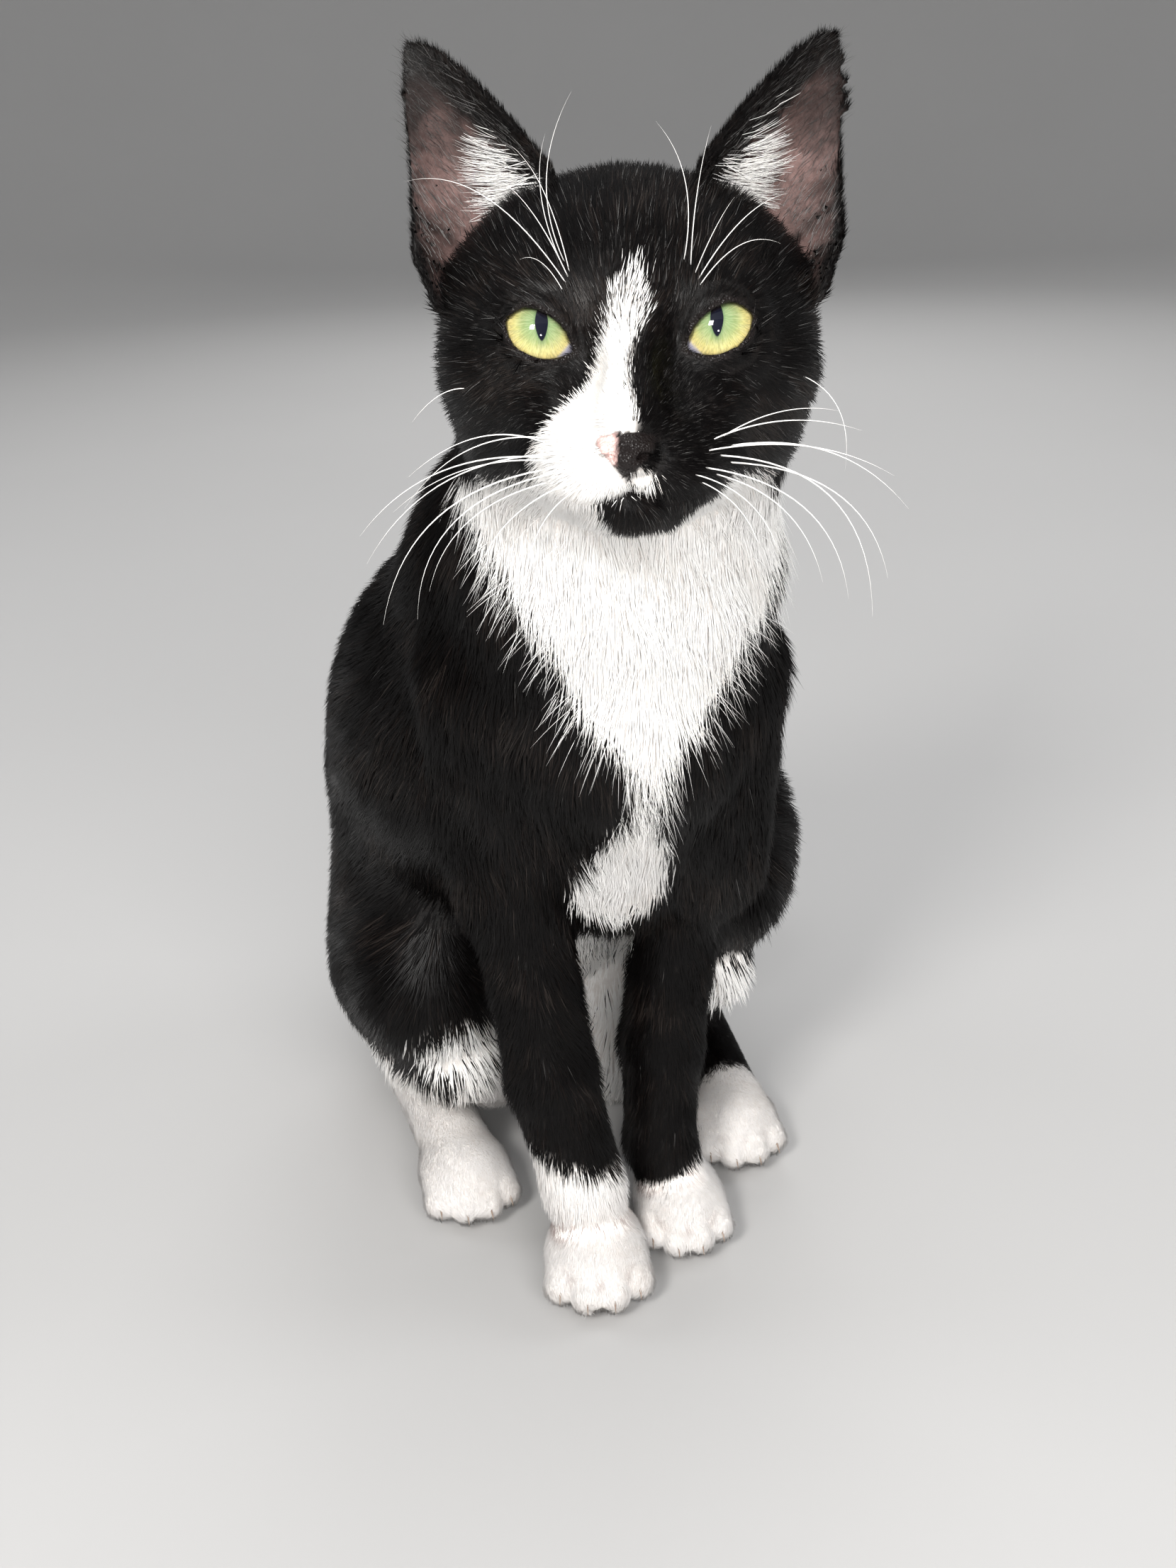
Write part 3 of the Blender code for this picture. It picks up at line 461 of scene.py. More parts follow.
    # and a pale patch on the inside of each shank
    shank_r = np.maximum(1 - step(0.75, 1.15, np.hypot((x + 51) / 17, (z - 71) / 13)),
                         1 - step(0.75, 1.2, np.hypot((x + 42) / 13, (z - 48) / 15)))
    shank_l = 1 - step(0.75, 1.15, np.hypot((x - 49) / 15, (z - 78) / 18))
    w = np.maximum(w, 0.85 * shank_r * (y > -66) * (y < 6) * (x < -28))
    w = np.maximum(w, 0.85 * shank_l * (y > -37) * (y < 6) * (x > 36) * (n[:, 1] < 0.3))
    belly = step(0, 20, 42 - z) * (np.abs(x + 5) < 42) * (y > -40) * (y < 40) * (n[:, 2] < 0.2)
    return np.clip(np.maximum(w, 0.6 * belly), 0, 1)


# ---------------------------------------------------------------- the skin under the coat
NOSE_X, MOUTH_X = -1.4, -0.9         # the leather and the mouth sit a touch to the cat's right


def nose_width(hz):
    return np.interp(hz, [-35.0, -34.2, -32.7, -30.5, -28.2, -26.4, -25.0, -24.0, -23.2],
                     [0.2, 0.9, 2.0, 3.8, 6.0, 7.2, 7.1, 6.0, 0.2])


def nose_mask(m):
    """m is the whole head's frame, with its sides told apart"""
    hx, hy, hz = m[:, 0] - NOSE_X, m[:, 1], m[:, 2]
    return step(-0.6, 0.5, nose_width(hz) - np.abs(hx)) * (hy < -9) * (hz > -35.4) * (hz < -22.6)


def coat_depth(p, m):
    z = p[:, 2]
    near = np.sqrt((m[:, 0] / 1.1) ** 2 + (m[:, 1] - 2) ** 2 + (m[:, 2] + 18) ** 2)
    lids = step(EYE_R + 6.0, EYE_R + 2.6, np.sqrt(((m - EYE_AT.astype(F32)) ** 2).sum(-1)))
    face = (0.6 + 1.7 * step(20, 62, near)) * (1 - 0.85 * lids)
    body = 0.9 + 1.6 * step(22, 120, z)
    head = step(284, 306, z) * (p[:, 1] < -40)
    return (body * (1 - head) + face * head).astype(F32)


def eye_opening(m):
    """(distance outside the almond between the lids, distance from the eyeball's middle) on the half head"""
    c, s = math.cos(math.radians(EYE_SLANT)), math.sin(math.radians(EYE_SLANT))
    a = (m[:, 0] - EYE_AT[0]) * c + (m[:, 2] - EYE_AT[2]) * s
    b = -(m[:, 0] - EYE_AT[0]) * s + (m[:, 2] - EYE_AT[2]) * c
    up, down = lid_curve(np.clip(a / EYE_HALF_W, -1.6, 1.6))
    al = np.where(b > 0, b - up, down - b) * 0.8
    return al, np.sqrt(((m - EYE_AT.astype(F32)) ** 2).sum(-1)), b


LIP_X = [0, 3, 6.5, 9, 13, 17, 23]
LIP_Z = [-37.4, -38.6, -39.4, -39.9, -39.7, -38.4, -35.6]


def face_detail(p, d, m, hx):
    """cuts the lids, the nostrils and the mouth line into a head field d; hx tells the sides apart"""
    al, v, b = eye_opening(m)
    cut = smooth_max(al.astype(F32), (m[:, 1] - EYE_AT[1]).astype(F32), 1.0)
    d = smooth_max(d, -cut, 0.6)
    d = smooth_max(d, -(v - (EYE_R + 0.15)), 0.3)
    # a fold over the upper lid and a shallow one under the lower
    on_lid = (v < EYE_R + 7) * (m[:, 1] < EYE_AT[1])
    fold = 0.55 * bump_at(al, 3.3, 0.75) * step(-1, 2.5, b) + 0.30 * bump_at(al, 3.0, 0.8) * step(0, -3, b)
    d = d + (fold * on_lid).astype(F32)
    hy, hz = m[:, 1], m[:, 2]
    q = m.copy()
    q[:, 0] = np.sqrt((hx - NOSE_X) ** 2 + 0.15)
    ax = q[:, 0]
    front = hy < -3
    # the leather stands a little proud, with wings outside the nostrils
    lift = step(-1.0, 0.6, nose_width(hz) - ax) * front
    d = d - 0.50 * lift.astype(F32)
    d = smooth_min(d, Ball((5.3, -17.3, -27.4), (1.8, 2.6, 1.9)).field(q), 1.6)
    d = smooth_max(d, -Ball((3.9, -20.6, -28.9), (1.9, 3.2, 0.85), 0, turn("y", -24)).field(q), 0.7)
    d = smooth_max(d, -Ball((6.0, -18.2, -28.9), (1.8, 2.4, 0.5), 0, turn("y", 20)).field(q), 0.5)
    # philtrum and lips
    ax = np.sqrt((hx - MOUTH_X) ** 2 + 0.1)
    phil = bump_at(ax, 0, 0.75) * step(-38.5, -37, hz) * step(-29, -33, hz) * (hy < -6)
    lip = bump_at(hz, np.interp(ax, LIP_X, LIP_Z), 0.75) * step(21, 14, ax) * (hy < 14)
    return d + (0.75 * phil + 1.2 * lip * (0.35 + 0.65 * step(-12, -6, hx))).astype(F32)


def ear_folds(u, t):
    """skin folds at the outer foot of the ear, and the pocket in its edge: 1 along the bottom of a fold"""
    a = bump_at(t, np.interp(u, [-0.34, -0.12, 0.06, 0.22], [0.12, 0.42, 0.62, 0.95]), 0.075) * step(-0.38, -0.30, u) * step(0.27, 0.19, u)
    b = bump_at(t, np.interp(u, [-0.34, -0.14, 0.0], [0.50, 0.74, 0.98]), 0.065) * step(-0.38, -0.30, u) * step(0.05, -0.03, u)
    c = bump_at(t, np.interp(u, [-0.34, -0.05], [-0.15, 0.10]), 0.09) * step(-0.36, -0.28, u) * step(0.02, -0.08, u)
    return np.clip(a + b + 0.7 * c, 0, 1)


def ear_skin(p, m):
    q = m.copy()
    s, n, t = ear_local(q)
    u = s / EAR_LEN
    wo, wi = ear_widths(u)
    tt = t / np.maximum(np.where(t > 0, wo, wi), 3)
    face = step(-0.2, 0.7, n - ear_depth(u, np.clip(tt, -1.3, 1.3)))
    raised = step(-0.42, -0.30, u) * step(0.34, 0.20, u) * step(-0.30, 0.0, tt) * step(1.0, 0.85, tt)
    return ear_field(p, EAR_T - 1.2, 0.5) + 0.1 + (face * (0.5 * ear_folds(u, tt) - 0.6 * raised)).astype(F32)


def skin_field(p):
    m = to_head(p)
    hx = m[:, 0].copy()
    m[:, 0] = np.sqrt(m[:, 0] ** 2 + 1.0)
    d = body_field(p) + coat_depth(p, m)
    near = (p[:, 2] > 280) & (p[:, 1] < -100)
    if near.any():
        d[near] = face_detail(p[near], d[near], m[near], hx[near])
    ears = ear_field(p, EAR_T - 1.5) + 0.15
    near = ears < 6
    if near.any():
        ears[near] = ear_skin(p[near], m[near])
    d = smooth_min(d, ears, 4)
    return smooth_max(d, 0.7 - p[:, 2], 0.8)


def surface(fn, axes, band, chunk=300000):
    """a closed net of quads on fn = 0, over a grid whose lines may be unevenly spaced"""
    n = [len(a) for a in axes]
    st = 4
    coarse = [a[::st] for a in axes]
    g = np.stack(np.meshgrid(*coarse, indexing="ij"), -1).reshape(-1, 3).astype(F32)
    d = np.concatenate([fn(g[i:i + chunk]) for i in range(0, len(g), chunk)]).reshape([len(c) for c in coarse])
    near = np.abs(d) < band
    grown = np.zeros_like(near)
    for sx in (-1, 0, 1):
        for sy in (-1, 0, 1):
            for sz in (-1, 0, 1):
                grown |= np.roll(near, (sx, sy, sz), (0, 1, 2))

    def spread(a):
        a = np.repeat(np.repeat(np.repeat(a, st, 0), st, 1), st, 2)[:n[0], :n[1], :n[2]]
        return np.pad(a, [(0, n[i] - a.shape[i]) for i in range(3)], mode="edge")

    full = np.where(spread(d) > 0, 9.0, -9.0).astype(F32)
    idx = np.argwhere(spread(grown))
    pts = np.stack([axes[i][idx[:, i]] for i in range(3)], -1).astype(F32)
    full[idx[:, 0], idx[:, 1], idx[:, 2]] = np.concatenate([fn(pts[i:i + chunk]) for i in range(0, len(pts), chunk)])
    inside = full < 0
    a = [slice(None, -1), slice(1, None)]
    count = sum(inside[a[i], a[j], a[k]].astype(np.int8) for i in (0, 1) for j in (0, 1) for k in (0, 1))
    act = (count > 0) & (count < 8)
    cells = np.argwhere(act)
    cid = np.full(act.shape, -1, np.int32)
    cid[act] = np.arange(len(cells))
    corners = [(i, j, k) for i in (0, 1) for j in (0, 1) for k in (0, 1)]
    val = np.stack([full[cells[:, 0] + i, cells[:, 1] + j, cells[:, 2] + k] for i, j, k in corners], 1)
    off = np.array(corners, F32)
    acc, num = np.zeros((len(cells), 3), F32), np.zeros(len(cells), F32)
    for q in range(8):
        for r in range(q + 1, 8):
            if np.abs(off[q] - off[r]).sum() != 1:
                continue
            vq, vr = val[:, q], val[:, r]
            cross = (vq < 0) != (vr < 0)
            t = np.where(cross, vq / np.where(cross, vq - vr, 1), 0)[:, None]
            acc += np.where(cross[:, None], off[q] + (off[r] - off[q]) * t, 0)
            num += cross
    f = acc / num[:, None]
    verts = np.stack([axes[i][cells[:, i]] + f[:, i] * (axes[i][cells[:, i] + 1] - axes[i][cells[:, i]]) for i in range(3)], -1)
    quads = []
    for ax in range(3):
        s0, s1 = [slice(None)] * 3, [slice(None)] * 3
        s0[ax], s1[ax] = slice(None, -1), slice(1, None)
        edge = np.argwhere(inside[tuple(s0)] != inside[tuple(s1)])
        o = [i for i in range(3) if i != ax]
        ok = (edge[:, o[0]] > 0) & (edge[:, o[1]] > 0) & (edge[:, o[0]] < n[o[0]] - 1) & (edge[:, o[1]] < n[o[1]] - 1)
        edge = edge[ok]

        def cell(d0, d1):
            j = edge.copy()
            j[:, o[0]] -= d0
            j[:, o[1]] -= d1
            return cid[j[:, 0], j[:, 1], j[:, 2]]

        q = np.stack([cell(1, 1), cell(0, 1), cell(0, 0), cell(1, 0)], 1)
        flip = inside[edge[:, 0], edge[:, 1], edge[:, 2]]
        if ax == 1:
            flip = ~flip
        quads.append(np.where(flip[:, None], q, q[:, ::-1]))
    quads = np.concatenate(quads)
    return verts.astype(F32), quads[(quads >= 0).all(1)]


def lines(parts):
    """grid lines from (start, end, spacing) stretches"""
    out = []
    for a, b, h in parts:
        k = max(1, int(round((b - a) / h)))
        out += list(a + (b - a) * np.arange(k) / k)
    return np.array(out + [parts[-1][1]], float)


FINE = 1.15
GRID = [lines([(-112, -40, 3.2), (-40, 74, FINE), (74, 90, 3.2)]),
        lines([(-186, -62, FINE), (-62, 216, 3.4)]),
        lines([(-3, 40, 2.4), (40, 280, 3.4), (280, 414, FINE)])]
verts, quads = surface(skin_field, GRID, 3.4 * 4 * 1.9)
for _ in range(2):
    verts = settle(skin_field, verts, 1, 0.0, 0.25)
print("skin", len(verts), "points", len(quads), "faces")


def point_normals(v, q):
    a, b = v[q[:, 2]] - v[q[:, 0]], v[q[:, 3]] - v[q[:, 1]]
    fn = np.cross(a, b).astype(float)
    out = np.zeros((len(v), 3))
    for i in range(4):
        for k in range(3):
            out[:, k] += np.bincount(q[:, i], fn[:, k], len(v))
    return unit(out), fn / 2


nrm, face_n = point_normals(verts, quads)
verts = verts.astype(float)
face_area = np.linalg.norm(face_n, axis=1)


# ---------------------------------------------------------------- what each point belongs to
def region_of(p):
    """0 trunk, 1 head, 2 ear left, 3 ear right, 4 to 7 the legs, 8 tail"""
    p = p.astype(F32)
    d = [blended(p, TRUNK), head_field(p), None, None, leg_field(p, FORE_L, PAWS["fore_l"]),
         leg_field(p, FORE_R, PAWS["fore_r"]), leg_field(p, HIND_L, PAWS["hind_l"]),
         leg_field(p, HIND_R, PAWS["hind_r"]), blended(p, TAIL)]
    e = ear_field(p)
    mx = to_head(p)[:, 0]
    d[2] = np.where(mx > 0, e - 1.5, 50)
    d[3] = np.where(mx < 0, e - 1.5, 50)
    return np.argmin(np.stack(d), 0)


region = region_of(verts)
head_m = head_coords(verts)
half_m = head_m.copy()
half_m[:, 0] = np.abs(half_m[:, 0])
depth = coat_depth(verts.astype(F32), half_m.astype(F32)).astype(float)
white = white_of(verts, nrm)


# ---------------------------------------------------------------- unwrap of the skin's own shape
CHART = 0.0145                      # UV size of 10 mm


def charts(centre, normal, reg):
    """a chart for each region and each way its surface faces, laid out in rows"""
    way = np.argmax(np.stack([normal[:, 0], -normal[:, 0], normal[:, 1], -normal[:, 1], normal[:, 2], -normal[:, 2]]), 0)
    return reg * 6 + way


def chart_plane(p, chart):
    way = (chart % 6) // 2
    u = np.where(way == 0, p[:, 1], p[:, 0])
    v = np.where(way == 2, p[:, 1], p[:, 2])
    return np.stack([u, v], 1)


quad_mid = verts[quads].mean(1)
quad_region = region[quads[:, 0]]
quad_chart = charts(quad_mid, face_n, quad_region)
corner_uv = np.zeros((len(quads), 4, 2))
for i in range(4):
    corner_uv[:, i] = chart_plane(verts[quads[:, i]], quad_chart)
boxes = []
for c in np.unique(quad_chart):
    sel = quad_chart == c
    lo, hi = corner_uv[sel].min((0, 1)), corner_uv[sel].max((0, 1))
    boxes.append((hi[1] - lo[1], hi[0] - lo[0], c, lo))
boxes.sort(key=lambda b: -b[0])
scale, margin = 1.0 / 1150.0, 0.006


def lay_out(scale):
    x = y = row = 0.0
    at = {}
    for h, w, c, lo in boxes:
        w, h = w * scale + margin, h * scale + margin
        if x + w > 1.0:
            x, y, row = 0.0, y + row, 0.0
        at[c] = (x + margin / 2, y + margin / 2, lo)
        x, row = x + w, max(row, h)
    return at, y + row


while True:
    at, height = lay_out(scale)
    if height <= 1.0:
        break
    scale *= 0.96
for c, (x, y, lo) in at.items():
    sel = quad_chart == c
    corner_uv[sel] = (corner_uv[sel] - lo) * scale + np.array([x, y])
print("unwrap scale", round(scale, 6), "height", round(height, 3))


# ---------------------------------------------------------------- meshes from arrays
def make_mesh(name, co, faces, smooth=True):
    me = bpy.data.meshes.new(name)
    me.vertices.add(len(co))
    me.vertices.foreach_set("co", np.ascontiguousarray(co, np.float32).ravel())
    k = faces.shape[1]
    me.loops.add(faces.size)
    me.loops.foreach_set("vertex_index", np.ascontiguousarray(faces, np.int32).ravel())
    me.polygons.add(len(faces))
    me.polygons.foreach_set("loop_start", (np.arange(len(faces)) * k).astype(np.int32))
    me.polygons.foreach_set("use_smooth", np.full(len(faces), smooth))
    me.update(calc_edges=True)
    me.validate()
    return me


def soft_normals(me, normals):
    """hairs are shaded with the form they lie on, as a real coat is"""
    me.normals_split_custom_set_from_vertices(np.ascontiguousarray(normals, np.float32))


def point_value(me, name, values):
    values = np.asarray(values)
    if values.ndim == 1:
        me.attributes.new(name, "FLOAT", "POINT").data.foreach_set("value", values.astype(np.float32))
    else:
        me.attributes.new(name, "FLOAT_VECTOR", "POINT").data.foreach_set("vector", values.astype(np.float32).ravel())


def set_uv(me, uv):
    layer = me.uv_layers.new(name="OFBake")
    layer.data.foreach_set("uv", uv.astype(np.float32).ravel())


def piece(name, me, mats):
    ob = bpy.data.objects.new(name, me)
    bpy.context.scene.collection.objects.link(ob)
    for m in mats if isinstance(mats, (list, tuple)) else [mats]:
        me.materials.append(m)
    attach(ob, "root")
    return ob


# ---------------------------------------------------------------- materials
class Nodes:
    def __init__(self, name):
        self.mat = bpy.data.materials.new(name)
        self.mat.use_nodes = True
        self.t = self.mat.node_tree
        self.bsdf = self.t.nodes["Principled BSDF"]

    def node(self, kind, **props):
        n = self.t.nodes.new(kind)
        for k, v in props.items():
            setattr(n, k, v)
        return n

    def put(self, socket, value):
        if hasattr(value, "is_linked") or hasattr(value, "links"):
            self.t.links.new(value, socket)
        elif isinstance(value, (tuple, list)):
            socket.default_value = (*value, 1.0) if len(value) == 3 and len(socket.default_value) == 4 else value
        else:
            socket.default_value = value

    def attr(self, name):
        return self.node("ShaderNodeAttribute", attribute_name=name).outputs["Fac"]

    def math(self, op, a, b=0.0, clamp=False):
        n = self.node("ShaderNodeMath", operation=op, use_clamp=clamp)
        self.put(n.inputs[0], a)
        self.put(n.inputs[1], b)
        return n.outputs[0]

    def mix(self, f, a, b):
        n = self.node("ShaderNodeMix", data_type="RGBA")
        self.put(n.inputs["Factor"], f)
        self.put([s for s in n.inputs if s.name == "A" and s.type == "RGBA"][0], a)
        self.put([s for s in n.inputs if s.name == "B" and s.type == "RGBA"][0], b)
        return [s for s in n.outputs if s.type == "RGBA"][0]

    def coords(self):
        return self.node("ShaderNodeTexCoord").outputs["Object"]

    def noise(self, scale, detail=2.0, rough=0.5, at=None):
        n = self.node("ShaderNodeTexNoise")
        n.inputs["Scale"].default_value = scale
        n.inputs["Detail"].default_value = detail
        n.inputs["Roughness"].default_value = rough
        self.t.links.new(at if at is not None else self.coords(), n.inputs["Vector"])
        return n.outputs["Fac"]

    def range(self, v, a, b, c, d):
        n = self.node("ShaderNodeMapRange")
        self.put(n.inputs["Value"], v)
        for k, x in zip(("From Min", "From Max", "To Min", "To Max"), (a, b, c, d)):
            n.inputs[k].default_value = x
        return n.outputs["Result"]

    def ramp(self, v, *stops):
        n = self.node("ShaderNodeValToRGB")
        self.put(n.inputs["Fac"], v)
        el = n.color_ramp.elements
        while len(el) < len(stops):
            el.new(0.5)
        for e, (at, col) in zip(el, stops):
            e.position, e.color = at, (*col, 1)
        return n.outputs["Color"]

    def bump(self, height, strength, distance):
        n = self.node("ShaderNodeBump")
        n.inputs["Strength"].default_value = strength
        n.inputs["Distance"].default_value = distance
        self.put(n.inputs["Height"], height)
        self.put(self.bsdf.inputs["Normal"], n.outputs["Normal"])

    def set(self, **kw):
        for k, v in kw.items():
            self.put(self.bsdf.inputs[k.replace("_", " ")], v)
        return self.mat


BLACK_HAIR, BROWN_HAIR, PALE_TIP = (0.0022, 0.0018, 0.0018), (0.0075, 0.0050, 0.0042), (0.020, 0.016, 0.014)
WHITE_HAIR, CREAM_HAIR, SHADE_HAIR = (0.95, 0.94, 0.92), (0.92, 0.90, 0.865), (0.86, 0.82, 0.78)


def coat_material():
    k = Nodes("coat")
    t = k.attr("tint")
    dark = k.ramp(t, (0.0, BLACK_HAIR), (0.62, BLACK_HAIR), (0.9, BROWN_HAIR), (1.0, PALE_TIP))
    pale = k.ramp(t, (0.0, SHADE_HAIR), (0.16, CREAM_HAIR), (0.5, WHITE_HAIR), (1.0, (0.96, 0.95, 0.93)))
    # the root value mixes the pale hairs towards warm grey: painted shade deepening towards each hair's root, more
    # painted shade in the toe hollows, and a darker tone low on the legs and feet
    root_shade = k.range(k.attr("root"), 0, 7, 0, 1)
    pale = k.mix(root_shade, pale, (0.40, 0.33, 0.31))
    k.set(Base_Color=k.mix(k.attr("white"), dark, pale), Roughness=k.range(k.attr("white"), 0, 1, 0.36, 0.6))
    k.bsdf.inputs["Specular IOR Level"].default_value = 0.15
    return k.mat


def skin_material():
    k = Nodes("skin")
    w, bare, pink = k.attr("white"), k.attr("bare"), k.attr("pink")
    grain = k.noise(900, 3, 0.6)
    streak = k.noise(260, 3, 0.6)
    dark = k.mix(k.range(streak, 0.35, 0.7, 0, 1), (0.0018, 0.0015, 0.0015), (0.0055, 0.0040, 0.0035))
    pale = k.mix(k.range(streak, 0.3, 0.7, 0, 1), (0.72, 0.67, 0.63), (0.86, 0.83, 0.80))
    coat = k.mix(w, dark, pale)
    leather = k.mix(pink, (0.0090, 0.0065, 0.0062), k.mix(k.range(grain, 0.3, 0.7, 0, 1), (0.80, 0.50, 0.46), (0.88, 0.62, 0.58)))
    cup = k.mix(k.attr("cup_pink"), (0.055, 0.033, 0.029), (0.165, 0.102, 0.093))
    cup = k.mix(k.range(k.noise(420, 4, 0.65), 0.40, 0.68, 0, 0.6), cup, (0.038, 0.021, 0.018))
    # the ear's skin darkens along the bottoms of its folds as painted shade, and is darker towards the tip, the outer
    # edge and low at the root
    cup = k.mix(k.attr("cup_dark_and_fold_shade"), cup, (0.014, 0.008, 0.007))
    col = k.mix(bare, coat, leather)
    col = k.mix(k.attr("cup"), col, cup)
    k.set(Base_Color=col, Roughness=k.range(bare, 0, 1, 0.62, 0.34))
    k.bsdf.inputs["Specular IOR Level"].default_value = 0.25
    pebble = k.node("ShaderNodeTexVoronoi")
    pebble.inputs["Scale"].default_value = 1500
    k.t.links.new(k.coords(), pebble.inputs["Vector"])
    h = k.math("ADD", k.math("MULTIPLY", k.math("MULTIPLY", pebble.outputs["Distance"], bare), 0.9),
               k.math("MULTIPLY", grain, k.math("SUBTRACT", 1.0, bare)))
    k.bump(h, 0.7, 0.0006)
    return k.mat


def plain(name, colour, rough, vary=0.25, scale=600):
    k = Nodes(name)
    n = k.noise(scale, 2)
    lo = tuple(c * (1 - vary) for c in colour)
    k.set(Base_Color=k.mix(k.range(n, 0.3, 0.7, 0, 1), lo, colour), Roughness=rough)
    return k.mat


def eye_material():
    k = Nodes("eye")
    sep = k.node("ShaderNodeSeparateXYZ")
    vec3 = k.node("ShaderNodeAttribute", attribute_name="iris")
    k.t.links.new(vec3.outputs["Vector"], sep.inputs["Vector"])
    x, z, r = sep.outputs["X"], sep.outputs["Y"], sep.outputs["Z"]      # mm from the pupil's middle; radius
    ang = k.math("ARCTAN2", z, x)
    comb = k.node("ShaderNodeCombineXYZ")
    k.put(comb.inputs["X"], k.math("MULTIPLY", k.math("COSINE", ang), 3.0))
    k.put(comb.inputs["Y"], k.math("MULTIPLY", k.math("SINE", ang), 3.0))
    k.put(comb.inputs["Z"], k.math("MULTIPLY", r, 0.10))
    fibres = k.noise(2.6, 4, 0.65, comb.outputs["Vector"])
    comb2 = k.node("ShaderNodeCombineXYZ")
    k.put(comb2.inputs["X"], k.math("MULTIPLY", k.math("COSINE", ang), 9.0))
    k.put(comb2.inputs["Y"], k.math("MULTIPLY", k.math("SINE", ang), 9.0))
    k.put(comb2.inputs["Z"], k.math("MULTIPLY", r, 0.22))
    fine = k.noise(3.4, 3, 0.6, comb2.outputs["Vector"])
    inner, middle, outer, edge = (0.16, 0.29, 0.13), (0.27, 0.34, 0.13), (0.56, 0.51, 0.18), (0.74, 0.60, 0.23)
    base = k.ramp(k.math("MULTIPLY", r, 0.1), (0.0, inner), (0.34, (0.18, 0.29, 0.12)), (0.50, middle), (0.68, outer),
                  (0.86, edge), (1.08, (0.30, 0.22, 0.08)))
    base = k.mix(k.range(fibres, 0.35, 0.72, 0, 0.42), base, (0.62, 0.60, 0.36))
    base = k.mix(k.range(fine, 0.42, 0.72, 0, 0.62), base, (0.13, 0.15, 0.06))
    px = k.math("POWER", k.math("ABSOLUTE", k.math("MULTIPLY", x, 1 / 1.6)), 1.7)
    pz = k.math("POWER", k.math("ABSOLUTE", k.math("MULTIPLY", z, 1 / 4.5)), 1.55)
    pd = k.math("ADD", px, pz)
    pupil = k.range(pd, 0.90, 1.06, 1, 0)
    rim = k.range(pd, 1.0, 1.7, 0.45, 0)
    base = k.mix(rim, base, (0.07, 0.14, 0.07))
    col = k.mix(pupil, base, (0.0035, 0.0045, 0.012))
    col = k.mix(k.attr("third_lid"), col, (0.36, 0.345, 0.42))
    col = k.mix(k.attr("lid_shade"), col, (0.012, 0.008, 0.006))
    k.set(Base_Color=col, Roughness=0.5)
    k.bsdf.inputs["Coat Weight"].default_value = 1.0
    k.bsdf.inputs["Coat Roughness"].default_value = 0.03
    k.bsdf.inputs["Specular IOR Level"].default_value = 0.05
    return k.mat


COAT, SKIN, EYE = coat_material(), skin_material(), eye_material()
WHISKER = plain("whisker", (0.92, 0.90, 0.87), 0.35, 0.1)
# the claws are a horn brown darkened as painted shade, for where they sit in the fur at the toes
CLAW = plain("claw", (0.30, 0.215, 0.165), 0.35, 0.3, 900)


# ---------------------------------------------------------------- skin piece
al, ev, _ = eye_opening(half_m)
on_head = (verts[:, 2] > 280) & (verts[:, 1] < -60)
ear_reg = (region == 2) | (region == 3)
s_, n_, t_ = ear_local(half_m)
u_ear = s_ / EAR_LEN
wo, wi = ear_widths(u_ear)
tt_ear = t_ / np.maximum(np.where(t_ > 0, wo, wi), 3)
# black fur covers the inner edge, more of it towards the tip, and a narrow rim outside
inner_fur = np.interp(u_ear, [0.0, 0.3, 0.75, 0.95], [-0.50, -0.46, -0.06, 0.45]) + 0.09 * waves(verts, 7, 8)
inside = n_ - ear_depth(u_ear, np.clip(tt_ear, -1.3, 1.3))
facing = step(-0.95, -0.55, inside) * 1.0
in_cup = facing * ear_reg * step(-0.40, -0.26, u_ear) * step(0.93, 0.83, tt_ear) * step(0.90, 0.78, u_ear) * (half_m[:, 1] > 18)
cup = in_cup * step(-0.12, 0.10, tt_ear - inner_fur)
folds = ear_folds(u_ear, tt_ear)
# darker skin in the cup: painted shade along the bottoms of the folds, and darker towards the tip, the outer edge and
# low at the root
cup_dark_and_fold_shade = np.clip(0.60 * folds + 0.95 * step(0.30, 0.80, u_ear) + 0.55 * step(0.50, 0.90, tt_ear) + 0.35 * step(0.16, -0.30, u_ear)
                   + 0.22 * waves(verts, 9, 3) + 0.12 * waves(verts, 4, 6), 0, 1)
cup_pink = np.clip(step(0.85, 0.35, u_ear) * (0.35 + 0.55 * bump_at(tt_ear, 0.42, 0.38)) + 0.28 * waves(verts, 11, 4)
                   + 0.55 * bump_at(u_ear, -0.10, 0.13) * bump_at(tt_ear, 0.25, 0.2), 0, 1)
rim = step(2.1, 0.7, al) * (ev < EYE_R + 5.5) * (half_m[:, 1] < EYE_AT[1] + 1)
nose = nose_mask(head_m) * on_head
mouth_x = np.abs(head_m[:, 0] - MOUTH_X)
lips = bump_at(half_m[:, 2], np.interp(mouth_x, LIP_X, LIP_Z), 0.8) * (mouth_x < 17) * (half_m[:, 1] < 6) * on_head
lips *= step(-11, -5, head_m[:, 0])
bare = np.clip(np.maximum(np.maximum(rim, nose), lips) * on_head, 0, 1)
pink_edge = -4.0 - 0.6 * step(-26, -31, head_m[:, 2])
pink = step(0.5, -0.5, head_m[:, 0] - pink_edge + 0.4 * waves(verts, 3.0, 5)) * nose

skin_me = make_mesh("skin", to_row(verts), quads)
for name, val in (("white", np.where(nose > 0.5, 0, white)), ("bare", bare), ("pink", pink), ("cup", cup),
                  ("cup_dark_and_fold_shade", cup_dark_and_fold_shade), ("cup_pink", cup_pink)):
    point_value(skin_me, name, val)
set_uv(skin_me, corner_uv.reshape(-1, 2))
skin = piece("skin", skin_me, SKIN)
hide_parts(*[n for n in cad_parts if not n.startswith("eye_")])


